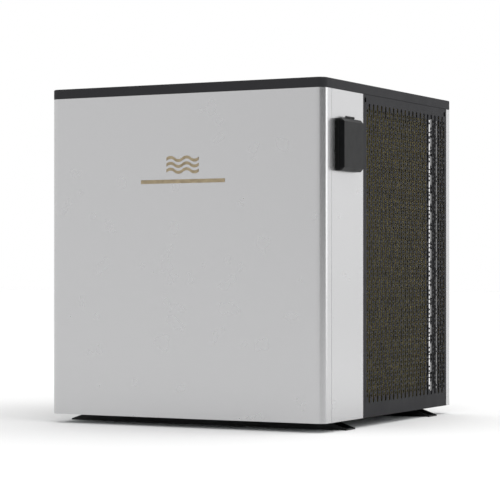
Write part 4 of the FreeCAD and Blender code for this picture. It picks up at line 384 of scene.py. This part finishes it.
# %% The C-shaped line of the coil
coil_low, coil_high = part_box("coil_fins")
COIL_DEPTH = 44 * MM
OUTER_RADIUS = 110 * MM
BEND = OUTER_RADIUS - COIL_DEPTH / 2
side_x = coil_high.x - COIL_DEPTH / 2
back_y = coil_high.y - COIL_DEPTH / 2
leg = back_y - BEND - coil_low.y
back = 2 * (side_x - BEND)
quarter = math.pi / 2 * BEND
coil_run = 2 * (leg + quarter) + back


def coil_place(run):
    """Where the coil's middle line is after this many metres, and which way it heads."""
    if run > coil_run / 2:
        point, heading = coil_place(coil_run - run)
        return Vector((-point.x, point.y, 0)), math.pi - heading
    if run < leg:
        return Vector((side_x, coil_low.y + run, 0)), math.pi / 2
    if run < leg + quarter:
        angle = (run - leg) / BEND
        corner = Vector((side_x - BEND, back_y - BEND, 0))
        return corner + BEND * Vector((math.cos(angle), math.sin(angle), 0)), math.pi / 2 + angle
    return Vector((side_x - BEND - (run - leg - quarter), back_y, 0)), math.pi


print("coil line:", round(coil_run, 3), "m, legs", round(leg, 3), "m")

# %% Fins
FIN_PITCH = 2.2 * MM
FIN_THICKNESS = 0.3 * MM
FIN_INSET = 1 * MM


def new_piece(name, mesh, slot, node_to_replace=None):
    """A piece of the casing with its finish, standing for a CAD node if one is named."""
    piece = bpy.data.objects.new(name, mesh)
    bpy.context.scene.collection.objects.link(piece)
    mesh.materials.append(finishes[slot])
    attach(piece, "casing")
    if node_to_replace:
        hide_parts(node_to_replace)
    return piece


fin_mesh = bpy.data.meshes.new("coil_fin_pack")
shape = bmesh.new()
fin_count = int(coil_run / FIN_PITCH)
fin_height = coil_high.z - coil_low.z - 2 * FIN_INSET
for index in range(fin_count):
    point, heading = coil_place((index + 0.5) * coil_run / fin_count)
    point.z = (coil_low.z + coil_high.z) / 2
    size = Matrix.Diagonal((FIN_THICKNESS, COIL_DEPTH - 2 * FIN_INSET, fin_height, 1))
    bmesh.ops.create_cube(shape, size=1.0, matrix=Matrix.Translation(point)
                          @ Matrix.Rotation(heading, 4, "Z") @ size)
shape.to_mesh(fin_mesh)
shape.free()
new_piece("coil_fin_pack", fin_mesh, "coil_fin", "coil_fins")
print("fins:", fin_count)

# %% [markdown]
# ## Tubes through the fins
# Two rows of copper tube run through the fins, 25 mm apart in height and 22 mm apart in depth.
# A tube is a path with a round bevel: a curve object does this in one step, and turning it into
# a mesh keeps it in the export.

# %% Coil tubes
TUBE_PITCH = 25 * MM
ROW_PITCH = 22 * MM
TUBE_RADIUS = 4.8 * MM
LEVELS = 30
BEND_STEPS = 6
first_level = (coil_low.z + coil_high.z - (LEVELS - 1) * TUBE_PITCH) / 2


def tube_line(curve, offset, height):
    """One tube of the coil, this far out from the middle line."""
    bend = [leg + quarter * part / BEND_STEPS for part in range(BEND_STEPS + 1)]
    steps = [0, leg / 2, *bend, coil_run / 2]
    runs = steps + [coil_run - run for run in reversed(steps[:-1])]
    spline = curve.splines.new("POLY")
    spline.points.add(len(runs) - 1)
    for entry, run in zip(spline.points, runs):
        point, heading = coil_place(run)
        outward = Vector((math.sin(heading), -math.cos(heading), 0))
        entry.co = (*(point + offset * outward).xy, height, 1)


tube_curve = bpy.data.curves.new("coil_tubes", "CURVE")
tube_curve.dimensions = "3D"
tube_curve.bevel_depth = TUBE_RADIUS
tube_curve.bevel_resolution = 2
for level in range(LEVELS):
    for offset in (-ROW_PITCH / 2, ROW_PITCH / 2):
        tube_line(tube_curve, offset, first_level + level * TUBE_PITCH)
carrier = bpy.data.objects.new("coil_tubes_line", tube_curve)
tube_mesh = bpy.data.meshes.new_from_object(carrier)
bpy.data.objects.remove(carrier)
for face in tube_mesh.polygons:
    face.use_smooth = True
tube_mesh.materials.clear()
new_piece("coil_tubes", tube_mesh, "copper_tube")
print("tubes:", 2 * LEVELS)

# %% [markdown]
# ## Studio: floor, light and camera
# A pale floor runs out of sight, and a soft sky of light stands in for the white studio walls.
# Silver paint shows what it faces, so the walls are white all round but for one dark curtain at the
# unit's right front corner: the corner's curve then has a dark line between two bright faces. The
# world shader reads the direction that a ray goes, so it is the same studio from every side.

# %% Floor
# Painted shade: the floor's colour is a little darker near the unit and brighter far away, standing
# in for the unit's shade on it.
FLOOR_HALF = 30.0
# Painted shade is full within the first radius and gone at the second.
PAINTED_SHADE_FULL_RADIUS = 0.8
PAINTED_SHADE_END_RADIUS = 4.0
floor_painted_shade_finish, tree, shader = new_finish("studio_floor_with_painted_shade", Roughness=0.9, Specular_IOR_Level=0.1)
distance = add_node(tree, "ShaderNodeVectorMath", {0: place_on(tree)}, operation="LENGTH")
spread = add_node(tree, "ShaderNodeMapRange", {"Value": distance.outputs["Value"],
                                               "From Min": PAINTED_SHADE_FULL_RADIUS, "From Max": PAINTED_SHADE_END_RADIUS})
# Painted shade: grey #eeeeee near the unit, fading to white #ffffff far off.
drift(tree, shader, spread.outputs[0], "#eeeeee", "#ffffff", 0.0, 1.0)
floor_mesh = bpy.data.meshes.new("studio_floor_with_painted_shade")
corners = [(-FLOOR_HALF, -FLOOR_HALF, 0), (FLOOR_HALF, -FLOOR_HALF, 0),
           (FLOOR_HALF, FLOOR_HALF, 0), (-FLOOR_HALF, FLOOR_HALF, 0)]
floor_mesh.from_pydata(corners, [], [(0, 1, 2, 3)])
floor_mesh.materials.append(floor_painted_shade_finish)
floor = bpy.data.objects.new("studio_floor_with_painted_shade", floor_mesh)
bpy.context.scene.collection.objects.link(floor)
print("floor:", 2 * FLOOR_HALF, "m across")

# %% Sky of light
world = bpy.data.worlds.new("studio_light")
bpy.context.scene.world = world
world.use_nodes = True
tree = world.node_tree
tree.nodes.clear()
direction = add_node(tree, "ShaderNodeTexCoord").outputs["Generated"]
part = add_node(tree, "ShaderNodeSeparateXYZ", {"Vector": direction})
azimuth = add_node(tree, "ShaderNodeMath", {0: part.outputs["Y"], 1: part.outputs["X"]},
                   operation="ARCTAN2")
turn = add_node(tree, "ShaderNodeMapRange",
                {"Value": azimuth.outputs[0], "From Min": -math.pi, "From Max": math.pi})
walls = add_node(tree, "ShaderNodeValToRGB", {"Fac": turn.outputs[0]})
walls.color_ramp.interpolation = "EASE"
# Each wall is a compass angle in degrees, measured from +X towards +Y, and its brightness.
WALLS = ((-180, 0.98), (-126, 0.98), (-106, 0.76), (-78, 0.76), (-63, 0.03), (19, 0.03),
         (35, 1.15), (90, 1.15), (180, 0.98))
for index, (degrees, brightness) in enumerate(WALLS):
    stops = walls.color_ramp.elements
    stop = stops[index] if index < 2 else stops.new(1.0)
    stop.position = degrees / 360 + 0.5
    stop.color = (brightness, brightness, brightness, 1.0)
overhead = add_node(tree, "ShaderNodeMapRange",
                    {"Value": part.outputs["Z"], "From Min": 0.2, "From Max": 0.6},
                    interpolation_type="SMOOTHSTEP")
sky = add_node(tree, "ShaderNodeMix", {"Factor": overhead.outputs[0], "A": walls.outputs["Color"],
                                       "B": 1.06}, data_type="FLOAT")
seen = add_node(tree, "ShaderNodeLightPath")
strength = add_node(tree, "ShaderNodeMix",
                    {"Factor": seen.outputs["Is Camera Ray"], "A": sky.outputs[0], "B": 1.0},
                    data_type="FLOAT")
light = add_node(tree, "ShaderNodeBackground", {"Color": linear("#ffffff"),
                                                "Strength": strength.outputs[0]})
add_node(tree, "ShaderNodeOutputWorld", {"Surface": light.outputs[0]})
print("world nodes:", len(tree.nodes))


# %% Softboxes
def softbox(name, place, aim, width, height, watts):
    """A large area light that faces a point on the unit."""
    lamp = bpy.data.lights.new(name, "AREA")
    lamp.shape = "RECTANGLE"
    lamp.size, lamp.size_y = width, height
    lamp.energy = watts
    holder = bpy.data.objects.new(name, lamp)
    holder.location = place
    holder.rotation_euler = (Vector(aim) - Vector(place)).to_track_quat("-Z", "Y").to_euler()
    bpy.context.scene.collection.objects.link(holder)
    return holder


middle = (Vector(cad_low) + Vector(cad_high)) / 2
softbox("top_softbox", (1.0, 0.2, 3.2), middle, 3.0, 3.0, 40)
softbox("side_softbox", (3.4, 1.6, 1.3), middle, 2.0, 2.2, 20)
print("softboxes aim at", [round(c, 3) for c in middle])

# %% Camera
# A long lens held level keeps the casing's upright edges parallel; the small shift puts the unit
# in the middle of the frame instead of tilting the camera down.
CAMERA_PLACE = (2.388, -4.546, 0.373)
TURN = math.radians(27.9)
LENS_MM = 144.8
SENSOR_MM = 36.0
SHIFT_UP = 0.043
camera_data = bpy.data.cameras.new("studio_camera")
camera_data.lens = LENS_MM
camera_data.sensor_width = SENSOR_MM
camera_data.shift_y = SHIFT_UP
camera = bpy.data.objects.new("studio_camera", camera_data)
camera.location = CAMERA_PLACE
camera.rotation_euler = (math.pi / 2, 0, TURN)
bpy.context.scene.collection.objects.link(camera)
bpy.context.scene.camera = camera
bpy.context.scene.view_settings.view_transform = "Standard"
print("camera at", [round(c, 3) for c in camera.location])
